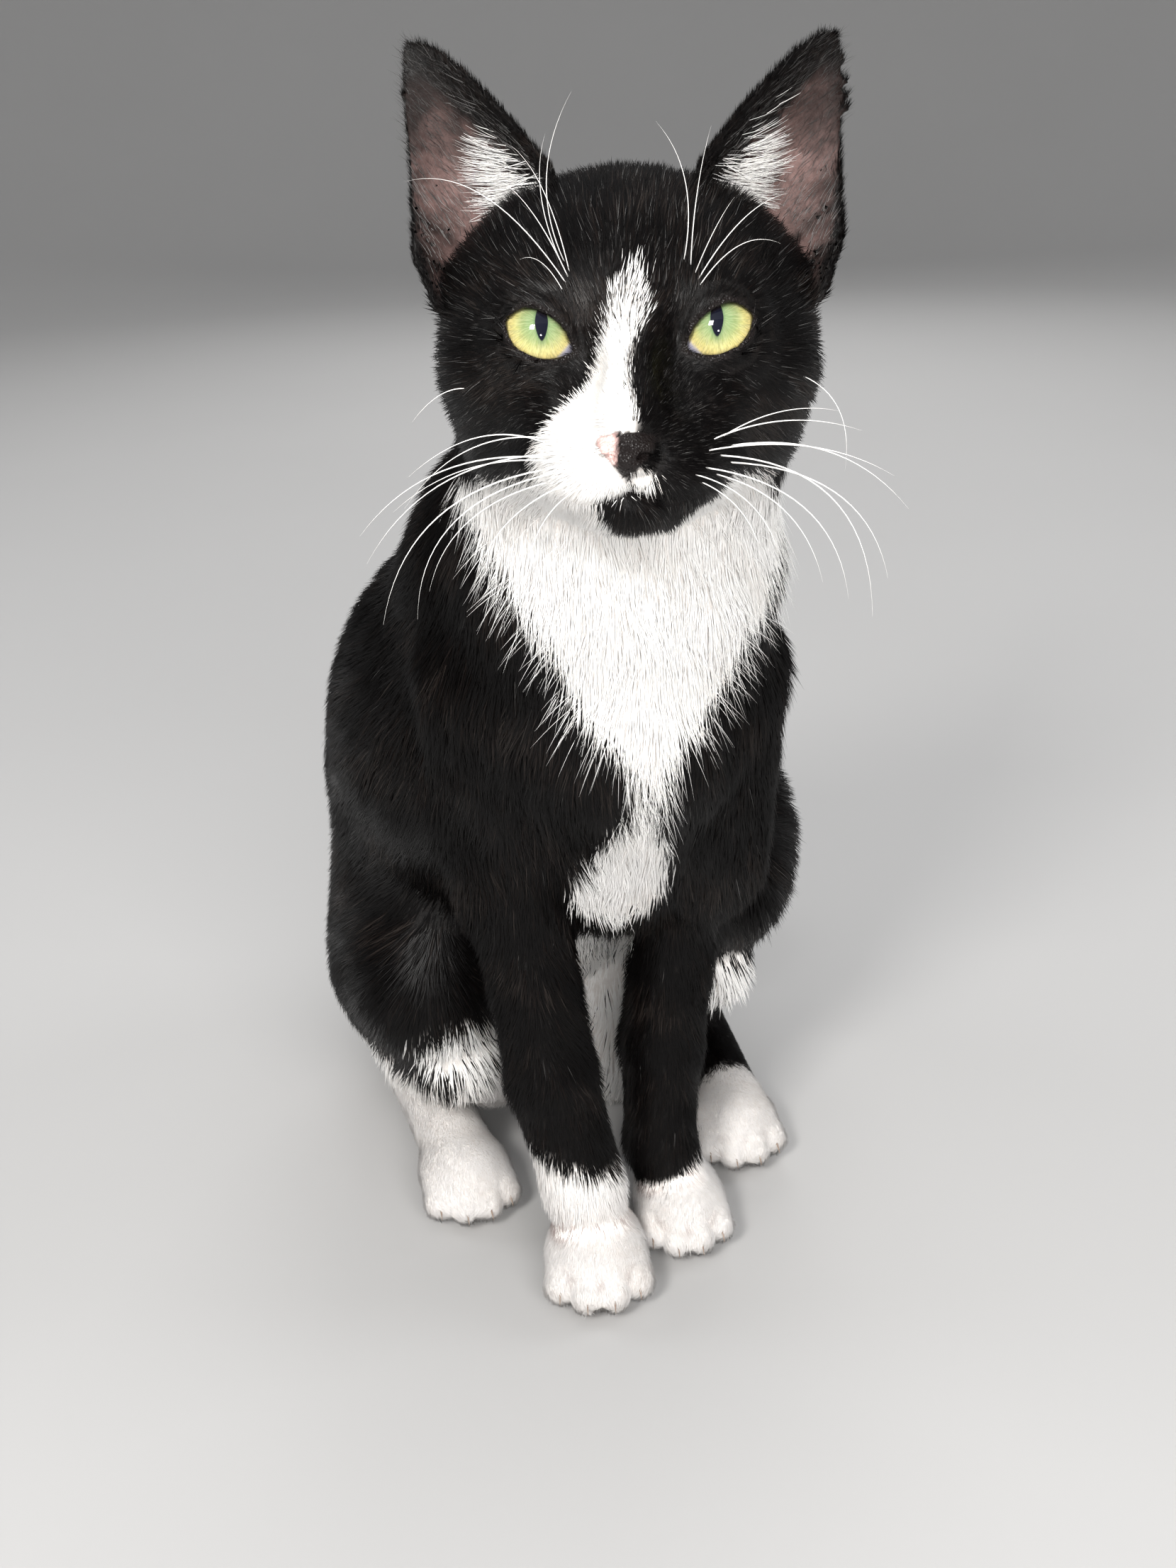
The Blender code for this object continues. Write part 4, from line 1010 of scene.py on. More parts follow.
# ---------------------------------------------------------------- the lie of the coat
def smooth_pick(pairs, p):
    total, out = np.zeros(len(p)), np.zeros((len(p), 3))
    for w, v in pairs:
        v = np.broadcast_to(np.asarray(v, float), out.shape)
        out += w[:, None] * v
        total += w
    return unit(out / np.maximum(total, 1e-6)[:, None])


tail_pts, _ = tail_axis(60)
tail_dir = unit(np.gradient(tail_pts, axis=0))


def lie_of(p, n, reg):
    m = head_coords(p)
    half = m.copy()
    side = np.where(m[:, 0] < 0, -1.0, 1.0)
    half[:, 0] = np.abs(half[:, 0])
    hx, hy, hz = half.T
    # head, in its own frame: away from the nose, up over the brow, down and back on the cheeks
    out = half - np.array([0, -24, -25.0])
    out[:, 0] *= 1.15
    up_mid = step(13, 4, hx) * step(-24, -8, hz)
    out = unit(out) + up_mid[:, None] * np.array([0.15, 0.2, 1.0])
    out = unit(out)
    cheek = step(16, 34, hx) * step(10, -20, hz)
    out = unit(out + cheek[:, None] * np.array([0.1, 0.5, -0.8]))
    chin = step(-36, -41, hz) * step(30, 12, hx)
    out = unit(out * (1 - chin)[:, None] + chin[:, None] * np.array([0.0, 0.75, -0.65]))
    crown = step(12, 30, hz) * step(10, 40, hy)
    out = unit(out * (1 - crown)[:, None] + crown[:, None] * np.array([0.12, 1.0, -0.2]))
    nape = step(45, 75, hy)
    out = unit(out * (1 - nape)[:, None] + nape[:, None] * np.array([0.0, 0.55, -0.85]))
    lid = step(19, 13.5, np.sqrt(((half - EYE_AT) ** 2).sum(1)))
    away = unit(half - (EYE_AT + np.array([-7.0, 0, -1.0])))
    out = unit(out * (1 - 0.6 * lid)[:, None] + 0.6 * lid[:, None] * away)
    out[:, 0] *= side
    head_v = out @ HEAD_ROT.T
    ear_v = np.stack([side * (EAR_AXIS[0] + 0.25 * EAR_SIDE[0] * np.sign(t_of(half))), np.full(len(p), EAR_AXIS[1]) + 0.25 * EAR_SIDE[1] * np.sign(t_of(half)),
                      np.full(len(p), EAR_AXIS[2])], 1) @ HEAD_ROT.T
    x, y, z = p.T
    # body: down the breast, back along the spine and flanks, down the legs, forward over the feet
    breast = np.stack([0.10 * (x - 16) / 40, np.full(len(p), 0.05), np.full(len(p), -1.0)], 1)
    back = np.broadcast_to(np.array([-0.16, 0.62, -0.78]), (len(p), 3))
    front = step(-42, -82, y) * step(120, 150, z)
    body_v = unit(breast * front[:, None] + back * (1 - front)[:, None])
    rump = step(95, 130, y)
    body_v = unit(body_v + rump[:, None] * np.array([0, 0.4, -0.6]))
    vecs = {0: body_v, 1: head_v, 2: ear_v, 3: ear_v}
    toes = {4: (0.10, -1), 5: (0.04, -1), 6: (0.18, -1), 7: (0.27, -1)}
    for r, h in toes.items():
        fwd = unit(np.array([h[0], h[1], 0.0]))
        if r in (4, 5):
            on_paw = step(30, 14, z)
            leg = np.broadcast_to(np.array([0.02, 0.10, -1.0]), (len(p), 3))
            v = leg * (1 - on_paw)[:, None] + (fwd + np.array([0, 0, -0.35])) * on_paw[:, None]
        else:
            on_foot = step(40, 22, z)
            leg = np.broadcast_to(np.array([-0.10, 0.55, -0.80]), (len(p), 3))
            v = leg * (1 - on_foot)[:, None] + (fwd + np.array([0, 0, -0.15])) * on_foot[:, None]
        vecs[r] = unit(v)
    near = np.argmin(((p[:, None, :] - tail_pts[None, ::3, :]) ** 2).sum(-1), 1) * 3
    vecs[8] = tail_dir[near]
    v = np.zeros((len(p), 3))
    for r, a in vecs.items():
        v[reg == r] = a[reg == r]
    return v


def t_of(half):
    return (half - EAR_ROOT) @ EAR_SIDE


def tangent(v, n):
    return unit(v - (v * n).sum(1, keepdims=True) * n)


lie = lie_of(verts, nrm, region)
# the lie runs smoothly from one region into the next
edges = np.concatenate([quads[:, [0, 1]], quads[:, [1, 2]], quads[:, [2, 3]], quads[:, [3, 0]]])
for _ in range(10):
    acc = lie * 1.0
    for k in range(3):
        acc[:, k] += np.bincount(edges[:, 0], lie[edges[:, 1], k], len(verts)) + np.bincount(edges[:, 1], lie[edges[:, 0], k], len(verts))
    lie = tangent(unit(acc), nrm)


# ---------------------------------------------------------------- tufts
def spikes(root, n, along, length, width, rise, lift, seg=1, droop=0.0):
    """tapering three-sided hairs: points, triangles, how far each point is along its hair, and which way it faces"""
    side = np.cross(along, n)
    k = len(root)
    rings, ways = [], []
    for i in range(seg):
        f = i / seg
        d = along * np.cos(rise)[:, None] + n * np.sin(rise)[:, None]
        c = root + d * (length * f)[:, None] - n * (droop * length * f * f)[:, None] + n * (lift * f)[:, None]
        w = (width * (1 - f * 0.75) / 2)[:, None]
        rings += [c - side * w, c + side * w, c + n * w * 0.9]
        ways += [unit(n - 0.55 * side), unit(n + 0.55 * side), n]
    d = along * np.cos(rise)[:, None] + n * np.sin(rise)[:, None]
    tip = root + d * length[:, None] - n * (droop * length)[:, None] + n * lift[:, None]
    pts = np.stack(rings + [tip], 1)                       # k, 3 seg + 1, 3
    tri = []
    for i in range(seg - 1):
        a, b = 3 * i, 3 * i + 3
        for q in range(3):
            r = (q + 1) % 3
            tri += [(a + q, b + q, b + r), (a + q, b + r, a + r)]
    a, t = 3 * (seg - 1), 3 * seg
    tri += [(a + 1, a + 2, t), (a + 2, a, t), (a, a + 1, t)]
    m = 3 * seg + 1
    faces = (np.arange(k) * m)[:, None, None] + np.array(tri)[None]
    frac = np.concatenate([np.full(3, i / seg) for i in range(seg)] + [np.ones(1)])
    ways = np.stack(ways + [unit(n + 0.22 * along)], 1)
    return pts.reshape(-1, 3), faces.reshape(-1, 3)[:, ::-1], np.tile(frac, k), m, ways.reshape(-1, 3)


def patch_uv(uv_root, faces, m, k):
    """each tuft is a small patch at its root's place"""
    j = np.arange(m)
    off = np.zeros((m, 2))
    off[:-1, 0] = (j[:-1] % 3 - 1) * 0.0015
    off[:, 1] = -0.0015 + 0.003 * np.concatenate([(j[:-1] // 3) / max(1, (m - 1) // 3), [1.0]])
    uv = (uv_root[:, None, :] + off[None]).reshape(-1, 2)
    return uv[faces.ravel()]


TRI = np.concatenate([quads[:, [0, 1, 2]], quads[:, [0, 2, 3]]])
TRI_UV = np.concatenate([corner_uv[:, [0, 1, 2]], corner_uv[:, [0, 2, 3]]])
tri_area = np.linalg.norm(np.cross(verts[TRI[:, 1]] - verts[TRI[:, 0]], verts[TRI[:, 2]] - verts[TRI[:, 0]]), axis=1) / 2


def scatter(density, total_cap=None):
    """roots over the skin with this many per square mm (a value for each skin point)"""
    w = tri_area * density[TRI].mean(1)
    n = int(w.sum())
    pick = np.searchsorted(np.cumsum(w) / w.sum(), RNG.random(n))
    pick = np.minimum(pick, len(TRI) - 1)
    a, b = RNG.random(n), RNG.random(n)
    flip = a + b > 1
    a[flip], b[flip] = 1 - a[flip], 1 - b[flip]
    return pick, np.stack([1 - a - b, a, b], 1)


def at_roots(values, pick, bary):
    v = values[TRI[pick]]
    return (v * bary[:, :, None]).sum(1) if v.ndim == 3 else (v * bary).sum(1)


def coat_piece(name, roots, seg, length, width, rise, lift, wh, tint, root_dark, droop=0.0):
    root, n, along, uv_root = roots
    pts, faces, frac, m, ways = spikes(root, n, along, length, width, rise, lift, seg, droop)
    pts[:, 2] = np.maximum(pts[:, 2], 0.25)
    me = make_mesh(name, to_row(pts), faces)
    point_value(me, "white", np.repeat(wh, m))
    point_value(me, "tint", np.repeat(tint, m))
    # the root value darkens the pale hairs: painted shade growing towards each root, plus root_dark
    point_value(me, "root", (1 - frac) + np.repeat(root_dark, m))
    set_uv(me, patch_uv(uv_root, faces, m, len(root)))
    soft_normals(me, ways)
    return piece(name, me, COAT)


# one value of each kind for every point of the skin
bald = np.clip(np.maximum(np.maximum(nose * 1.2, step(1.5, 0.2, al) * on_head * (ev < EYE_R + 5)), cup) + lips * 0.5, 0, 1)
bald = np.where((ev < EYE_R + 0.9) & on_head, 1.0, bald)
under = step(2.5, 0.5, verts[:, 2])
near_face = np.sqrt((half_m[:, 0] / 1.1) ** 2 + (half_m[:, 1] - 2) ** 2 + (half_m[:, 2] + 20) ** 2)
far_face = step(12, 58, near_face)
is_head = step(284, 306, verts[:, 2]) * (verts[:, 1] < -40)
foot = step(42, 20, verts[:, 2]) * ((region >= 4) & (region <= 7))
LENGTH = np.where(is_head > 0.5, 2.6 + 5.4 * far_face, 12.0)
LENGTH = LENGTH * (1 - foot) + 3.4 * foot
LENGTH = np.where(ear_reg, 3.1, LENGTH)
shin = step(150, 110, verts[:, 2]) * ((region == 4) | (region == 5)) * (1 - foot)
LENGTH = LENGTH * (1 - shin) + 8.0 * shin
bib_pt = (white > 0.4) * (verts[:, 2] > 190) * (verts[:, 2] < 312) * (region != 1)
LENGTH = np.where(bib_pt, 12.0, LENGTH)
WIDTH = 0.18 + 0.040 * LENGTH
WIDTH = np.where(bib_pt, 0.50, WIDTH)
for _ in range(12):                                  # lengths pass into each other
    for arr in (LENGTH, WIDTH):
        acc = arr + np.bincount(edges[:, 0], arr[edges[:, 1]], len(verts)) + np.bincount(edges[:, 1], arr[edges[:, 0]], len(verts))
        cnt = 1 + np.bincount(edges[:, 0], minlength=len(verts)) + np.bincount(edges[:, 1], minlength=len(verts))
        arr[:] = acc / cnt
# hollows of the form, such as between the toes: how far each point lies below its neighbours. On the feet it darkens
# the pale hairs' roots there as painted shade.
low = np.zeros(len(verts))
for a_, b_ in ((edges[:, 0], edges[:, 1]), (edges[:, 1], edges[:, 0])):
    low += np.bincount(a_, ((verts[b_] - verts[a_]) * nrm[a_]).sum(1), len(verts))
low = low / np.maximum(np.bincount(edges.ravel(), minlength=len(verts)), 1)
for _ in range(3):
    low = (low + np.bincount(edges[:, 0], low[edges[:, 1]], len(verts)) + np.bincount(edges[:, 1], low[edges[:, 0]], len(verts))) / (
        1 + np.bincount(edges.ravel(), minlength=len(verts)))
HOLLOW_SHADE = np.clip(low / 0.05, 0, 1) * step(46, 30, verts[:, 2]) * ((region >= 4) & (region <= 7))
print("hollow", np.percentile(low, [1, 50, 90, 99]).round(3), HOLLOW_SHADE.max())
COVER = 2.6
density = COVER / (LENGTH * WIDTH / 2) * (1 - bald) * (1 - 0.9 * under)
density = np.minimum(density, 5.5)
print("tufts wanted", int((tri_area * density[TRI].mean(1)).sum()), "skin area mm2", int(tri_area.sum()))

pick, bary = scatter(density)
root = at_roots(verts, pick, bary)
n = unit(at_roots(nrm, pick, bary))
along = tangent(at_roots(lie, pick, bary), n)
uv_root = (TRI_UV[pick] * bary[:, :, None]).sum(1)
length = at_roots(LENGTH, pick, bary)
width = at_roots(WIDTH, pick, bary)
dep = at_roots(np.where(ear_reg, 0.15, depth), pick, bary)
k = len(root)
swirl = 0.16 * waves(root, 26, 11) + 0.12 * waves(root, 9, 12) + RNG.normal(0, 0.09, k)
side = np.cross(n, along)
along = unit(along * np.cos(swirl)[:, None] + side * np.sin(swirl)[:, None])
length = length * np.clip(RNG.normal(1, 0.16, k), 0.55, 1.5)
rise = np.arcsin(np.clip((dep + 0.40) / length, 0.03, 0.6)) * np.clip(RNG.normal(1, 0.20, k), 0.4, 1.6)
jit = root + RNG.normal(0, 1, (k, 3)) * np.minimum(0.9, 0.25 + 0.12 * length)[:, None]
wh_p = white_of(jit, n)
wh = (RNG.random(k) < wh_p).astype(float)
tint = np.clip(0.5 + 0.24 * waves(root, 30, 21) + 0.12 * waves(root, 6, 22) + RNG.normal(0, 0.17, k), 0, 1)
# painted shade in the hollows of the feet, and pale hairs darker low on the legs, added to the tufts' root value
hollow = 5.0 * at_roots(HOLLOW_SHADE, pick, bary) + 1.7 * step(66, 30, root[:, 2]) * (at_roots(region.astype(float), pick, bary) > 3.5)
# on the face and shoulders a few short hairs are coloured pale grey: painted glints where light catches the coat
on_face = at_roots(is_head * (1 - ear_reg), pick, bary)
painted_glint = (RNG.random(k) < 0.004 + 0.110 * on_face) & (wh < 0.5)
wh = np.where(painted_glint, 0.006 + 0.115 * RNG.random(k) ** 2, wh)
width = np.where(painted_glint, 0.55 * width, width)
root_sunk = root - n * 0.35
order = np.argsort(at_roots(region.astype(float), pick, bary) * 1000 - root[:, 2])
LIMIT = 60000
for i in range(0, k, LIMIT):
    s = order[i:i + LIMIT]
    coat_piece("coat_%02d" % (i // LIMIT), (root_sunk[s], n[s], along[s], uv_root[s]), 1, length[s], width[s], rise[s],
               np.zeros(len(s)), wh[s], tint[s], hollow[s])
print("tufts", k)


# ---------------------------------------------------------------- longer hairs
def strands(name, points, width, white_v, tint_v, uv, mat, sides=3):
    """hairs along given lines: points is hairs x steps x 3 in mm, tapering to a fine tip"""
    k, s, _ = points.shape
    t = np.gradient(points, axis=1)
    t = unit(t)
    ref = np.where(np.abs(t[:, :1, 2:]) > 0.9, np.array([1.0, 0, 0]), np.array([0, 0, 1.0]))
    a = unit(np.cross(t, ref))
    b = np.cross(t, a)
    f = np.linspace(0, 1, s)
    r = (np.asarray(width)[:, None] / 2) * np.clip(1 - f ** 1.7, 0.06, 1)[None]
    ang = np.arange(sides) / sides * 2 * math.pi
    ring = (points[:, :, None, :] + r[:, :, None, None] * (a[:, :, None, :] * np.cos(ang)[None, None, :, None]
                                                          + b[:, :, None, :] * np.sin(ang)[None, None, :, None]))
    pts = ring.reshape(k, s * sides, 3)
    tri = []
    for i in range(s - 1):
        for q in range(sides):
            r2 = (q + 1) % sides
            p0, p1 = i * sides, (i + 1) * sides
            tri += [(p0 + q, p0 + r2, p1 + r2), (p0 + q, p1 + r2, p1 + q)]
    m = s * sides
    faces = ((np.arange(k) * m)[:, None, None] + np.array(tri)[None]).reshape(-1, 3)
    me = make_mesh(name, to_row(pts.reshape(-1, 3)), faces)
    point_value(me, "white", np.repeat(white_v, m))
    point_value(me, "tint", np.repeat(tint_v, m))
    # on the coat's hairs the root value darkens the pale colour towards the root: painted shade deep in the coat
    point_value(me, "root", np.tile(np.repeat(1 - f, sides), k) * 0.5)
    j = np.arange(m)
    off = np.stack([(j % sides) / (sides - 1) * 0.003 - 0.0015, (j // sides) / (s - 1) * 0.003 - 0.0015], 1)
    set_uv(me, (uv[:, None, :] + off[None]).reshape(-1, 2)[faces.ravel()])
    return piece(name, me, mat)


def arcs(root, start, bend, length, steps):
    """hairs that leave along start and bend towards bend"""
    out, p, d = [root], root, unit(start)
    h = (length / (steps - 1))[:, None]
    for _ in range(steps - 1):
        p = p + d * h
        out.append(p)
        d = unit(d + bend * (1.0 / (steps - 1)))
    return np.stack(out, 1)


# fringe of long white hairs down the breast and over the edges of the bib
fringe_zone = (verts[:, 2] > 176) & (verts[:, 2] < 300) & (verts[:, 1] < -60) & (region != 1)
fz = fringe_zone * (0.05 + 0.42 * (np.abs(white - 0.5) < 0.45)) * (white > 0.12)
pick, bary = scatter(fz)
root = at_roots(verts, pick, bary)
n = unit(at_roots(nrm, pick, bary))
al_ = tangent(at_roots(lie, pick, bary), n)
k = len(root)
turn_a = RNG.normal(0, 0.24, k)
# at the sides of the bib they point outwards over the black
mid = np.interp(root[:, 2], [205, 250, 300], [20, 21, 15])
splay = np.clip((root[:, 0] - mid) / 26, -1, 1) * step(205, 225, root[:, 2])
al_ = tangent(unit(al_ + splay[:, None] * np.array([0.85, 0.0, 0.1])), n)
sd = np.cross(n, al_)
al_ = unit(al_ * np.cos(turn_a)[:, None] + sd * np.sin(turn_a)[:, None])
ln = RNG.uniform(10, 21, k)
start = unit(al_ + n * RNG.uniform(0.16, 0.40, k)[:, None])
lines_ = arcs(root - n * 0.4, start, al_ * 0.25 + np.array([0, 0, -0.35]), ln, 5)
strands("bib_fringe", lines_, RNG.uniform(0.16, 0.27, k), np.ones(k), np.clip(RNG.normal(0.75, 0.15, k), 0.3, 1),
        (TRI_UV[pick] * bary[:, :, None]).sum(1), COAT)

# hair in the ears: bundles that leave the inner edge and lie across the cup, thick low down and fine above
for nm, reg_id, sgn in (("ear_hair_left", 2, 1.0), ("ear_hair_right", 3, -1.0)):
    mask = (region == reg_id) & (facing > 0.5) & (tt_ear < 0.1) & (tt_ear > -0.80) & (u_ear > -0.12) & (u_ear < 0.75) & (half_m[:, 1] > 18)
    dens = mask * (4.2 * step(0.50, 0.05, u_ear) * bump_at(tt_ear, -0.36, 0.24) + 0.16 * step(0.75, 0.5, u_ear) * (tt_ear < -0.1))
    dens = dens * (0.15 + 0.85 * step(-0.5, 0.5, waves(verts, 7, 31 + reg_id)))
    pick, bary = scatter(dens)
    root = at_roots(verts, pick, bary)
    n = unit(at_roots(nrm, pick, bary))
    k = len(root)
    ue = at_roots(u_ear, pick, bary)
    axis, outw, opn = [np.array([sgn, 1, 1]) * v for v in (EAR_AXIS, EAR_SIDE, EAR_OPEN)]
    bundle = waves(root, 6, 41 + reg_id)
    up = 0.02 + 1.05 * step(-0.05, 0.50, ue) + 0.20 * bundle + RNG.normal(0, 0.10, k)
    start = up[:, None] * axis + outw + (0.30 + 0.12 * bundle + RNG.normal(0, 0.08, k))[:, None] * opn
    start = unit(start) @ HEAD_ROT.T
    bend = (0.30 * axis - 0.10 * outw - 0.55 * opn) @ HEAD_ROT.T
    ln = RNG.uniform(6, 17, k) * np.interp(ue, [-0.1, 0.25, 0.72], [0.75, 1.0, 0.6])
    strands(nm, arcs(root, start, np.broadcast_to(bend, (k, 3)), ln, 6), RNG.uniform(0.11, 0.20, k),
            np.where(RNG.random(k) < 0.9 - 0.75 * step(0.35, 0.6, ue), 1.0, 0.15), np.clip(RNG.normal(0.5, 0.2, k), 0.1, 1),
            (TRI_UV[pick] * bary[:, :, None]).sum(1), COAT)


# fine down all over the cups, dark at the top and paler low down, lying up and outwards
down_zone = ear_reg & (facing > 0.5) & (np.abs(tt_ear) < 0.86) & (u_ear > -0.2) & (u_ear < 1.0) & (half_m[:, 1] > 18)
pick, bary = scatter(down_zone * (0.9 + 0.5 * step(0.5, 0.8, u_ear)))
root = at_roots(verts, pick, bary)
n = unit(at_roots(nrm, pick, bary))
k = len(root)
ue = at_roots(u_ear, pick, bary)
sgn = np.where(at_roots(head_m[:, 0], pick, bary) < 0, -1.0, 1.0)[:, None] * np.array([1.0, 0, 0]) + np.array([0, 1.0, 1.0])
start = unit((unit(EAR_AXIS + (0.45 + RNG.normal(0, 0.22, k))[:, None] * EAR_SIDE) * sgn) @ HEAD_ROT.T)
start = unit(tangent(start, n) + 0.16 * n)
pale_v = (0.010 + 0.10 * RNG.random(k) ** 2) * (1 + 2.2 * step(0.55, 0.15, ue))
strands("ear_down", arcs(root - n * 0.2, start, -0.12 * n, RNG.uniform(3.0, 6.5, k), 4), RNG.uniform(0.09, 0.14, k),
        pale_v, np.clip(RNG.normal(0.75, 0.15, k), 0, 1), (TRI_UV[pick] * bary[:, :, None]).sum(1), COAT)


# short dark hairs round the rims of the ears
rim_zone = ear_reg & ((tt_ear > 0.84) | (tt_ear < -0.90) | (u_ear > 0.90)) & (u_ear > -0.25)
pick, bary = scatter(rim_zone * 4.4)
root = at_roots(verts, pick, bary)
n = unit(at_roots(nrm, pick, bary))
k = len(root)
sgn = np.where(at_roots(head_m[:, 0], pick, bary) < 0, -1.0, 1.0)[:, None] * np.array([1.0, 0, 0]) + np.array([0, 1.0, 1.0])
outward = np.sign(at_roots(tt_ear, pick, bary))[:, None] * EAR_SIDE + 0.25 * EAR_OPEN
start = unit((unit(EAR_AXIS + (0.20 + RNG.normal(0, 0.12, k))[:, None] * outward) * sgn) @ HEAD_ROT.T + 0.06 * n)
strands("ear_rims", arcs(root - n * 0.3, start, -0.15 * n, RNG.uniform(2.0, 3.6, k), 3), RNG.uniform(0.10, 0.17, k),
        np.where(RNG.random(k) < 0.06, 0.12, 0.0), np.clip(RNG.normal(0.5, 0.2, k), 0, 1),
        (TRI_UV[pick] * bary[:, :, None]).sum(1), COAT)


# whiskers: side, root in head-local x and z, where the tip lies from the root, how far the middle bows, width
WHISKERS = [
    # over the cat's right lip
    (-1, 21.5, -26.0, (35, 2, -8), (0, 0, 5.5), 0.42), (-1, 20.0, -25.0, (38, 6, -17), (2, 0, 6), 0.40),
    (-1, 22.5, -29.5, (47, 4, -19), (3, 0, 6), 0.46), (-1, 18.0, -28.5, (50, 8, -27), (4, -2, 7), 0.44),
    (-1, 22.0, -32.5, (42, 0, -38), (7, -2, 7), 0.48), (-1, 19.0, -33.0, (36, 2, -36), (8, -2, 6), 0.44),
    (-1, 21.0, -35.5, (31, 2, -27), (5, -2, 4), 0.42), (-1, 16.0, -35.5, (24, -4, -26), (4, -2, 3), 0.38),
    (-1, 15.5, -30.5, (45, 10, -12), (2, 0, 5), 0.40), (-1, 13.0, -36.5, (13, -6, -18), (2, -2, 2), 0.32),
    # over the left lip
    (1, 20.5, -26.0, (37, 3, 1), (0, 0, 3.5), 0.42), (1, 25.0, -28.0, (45, 2, -17), (3, 0, 6), 0.44),
    (1, 19.0, -28.5, (47, 8, -8), (2, 0, 4), 0.42), (1, 22.0, -30.0, (38, -2, -41), (9, -2, 9), 0.46),
    (1, 24.5, -32.0, (40, 0, -30), (7, -2, 6.5), 0.44), (1, 18.0, -32.5, (36, 4, -34), (7, -2, 6), 0.42),
    (1, 21.0, -34.5, (26, -4, -27), (4, -2, 4), 0.40), (1, 15.5, -34.0, (20, -6, -20), (3, -2, 3), 0.36),
    (1, 17.0, -36.0, (14, -8, -17), (2, -2, 2), 0.34), (1, 23.0, -25.5, (30, 8, 5), (0, 0, 3), 0.36),
    # one on each cheek
    (-1, 42.0, -13.0, (14, -6, -8), (0, 0, 2.5), 0.28), (1, 45.0, -12.0, (10, -8, -24), (4, 0, 3), 0.28),
    # over the cat's right brow
    (-1, 15.6, 12.6, (38, -10, 24), (0, -2, 8.5), 0.32), (-1, 15.0, 14.0, (15, -13, 22), (0, -3, 3.2), 0.30),
    (-1, 14.6, 15.2, (13, -14, 29), (-1, -3, 4), 0.28), (-1, 15.8, 17.6, (-3, -16, 38), (5, -4, 0), 0.30),
    (-1, 16.2, 16.5, (3, -15, 30), (3, -4, 1), 0.28), (-1, 16.5, 11.0, (10, -8, 7), (0, -1, 3), 0.24),
    # over the left brow
    (1, 14.0, 17.5, (-7, -16, 31), (3.5, -4, 2), 0.30), (1, 15.6, 16.2, (4.5, -16, 31), (-1, -4, 1), 0.30),
    (1, 16.6, 14.0, (9, -13, 17), (0, -3, 1.5), 0.27), (1, 17.4, 12.6, (21, -12, 19), (0, -3, 4), 0.31),
    (1, 17.8, 11.2, (19, -9, 9), (0, -2, 4.5), 0.28),
]


def cast_to_skin(hx, hz, y0=-40.0):
    """the point of the face in front of head-local x and z"""
    q = np.array([[hx, y0, hz]])
    for _ in range(80):
        p = from_head(q).astype(F32)
        q[0, 1] += 0.7 * float(np.clip(skin_field(p)[0], -4, 8))
    return from_head(q)[0]


pts, wid = [], []
f = np.linspace(0, 1, 18)[:, None]
for side, x, z, tip, bow, w in WHISKERS:
    s = np.array([side, 1, 1])
    r0 = cast_to_skin(side * x, z)
    way = (np.array(tip, float) * s) @ HEAD_ROT.T
    arch = (np.array(bow, float) * s) @ HEAD_ROT.T
    pts.append(r0 + way * f + arch * (4 * f * (1 - f)))
    wid.append(w)
k = len(pts)
strands("whiskers", np.array(pts), np.array(wid), np.ones(k), np.full(k, 0.9),
        np.full((k, 2), 0.5) + np.stack([np.linspace(-0.4, 0.4, k), np.zeros(k)], 1), WHISKER, 5)


# ---------------------------------------------------------------- eyes
def eye_piece(side):
    bm = bmesh.new()
    bmesh.ops.create_uvsphere(bm, u_segments=72, v_segments=48, radius=EYE_R, matrix=Matrix.Rotation(math.radians(90), 4, "X"))
    co = np.array([v.co for v in bm.verts])
    front = np.hypot(co[:, 0], co[:, 2])
    # the clear front bulges a little; the pupil looks slightly inwards and up, at the viewer
    swell = 0.45 * step(8.2, 3.0, front) * (co[:, 1] < 0)
    gaze = np.array([-0.7 * side, 3.3])
    iris = np.stack([co[:, 0] - gaze[0], co[:, 2] - gaze[1]], 1)
    c, s = math.cos(math.radians(EYE_SLANT)), math.sin(math.radians(EYE_SLANT))
    a = side * co[:, 0] * c + co[:, 2] * s
    b = -side * co[:, 0] * s + co[:, 2] * c
    lid3 = step(-6.7, -7.5, a + 0.30 * b) * (co[:, 1] < 0)
    up, down = lid_curve(np.clip(a / EYE_HALF_W, -1.6, 1.6))
    shade = np.clip(step(1.4, -0.1, up - b) * 0.8 + step(0.5, -0.3, b - down) * 0.8 + step(9.0, 9.8, a), 0, 1)
    swell = swell + 0.25 * lid3
    co2 = co * (1 + swell / EYE_R)[:, None]
    for v, p in zip(bm.verts, co2):
        v.co = Vector(p.tolist())
    me = bpy.data.meshes.new("eye")
    uvl = bm.loops.layers.uv.new("OFBake")
    for f in bm.faces:
        for l in f.loops:
            p = l.vert.co
            l[uvl].uv = (0.5 + p.x / 24, (0.25 if p.y < 0 else 0.75) + p.z / 48)
        f.smooth = True
    rot = Matrix(HEAD_ROT.tolist()).to_4x4()
    bm.transform(rot)
    centre = from_head(EYE_AT * np.array([side, 1, 1]))
    bm.transform(Matrix.Translation(Vector((centre - ORIGIN).tolist())))
    bm.transform(Matrix.Scale(MM, 4))
    bm.to_mesh(me)
    bm.free()
    rad = np.hypot(iris[:, 0], iris[:, 1])
    # x is mirrored so that both irises are drawn alike
    point_value(me, "iris", np.stack([iris[:, 0] * side, iris[:, 1], rad], 1))
    point_value(me, "third_lid", lid3)
    point_value(me, "lid_shade", shade)
    name = "eye_left" if side > 0 else "eye_right"
    ob = piece(name + "_ball", me, EYE)
    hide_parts(name)
    return ob


for side in (1, -1):
    eye_piece(side)


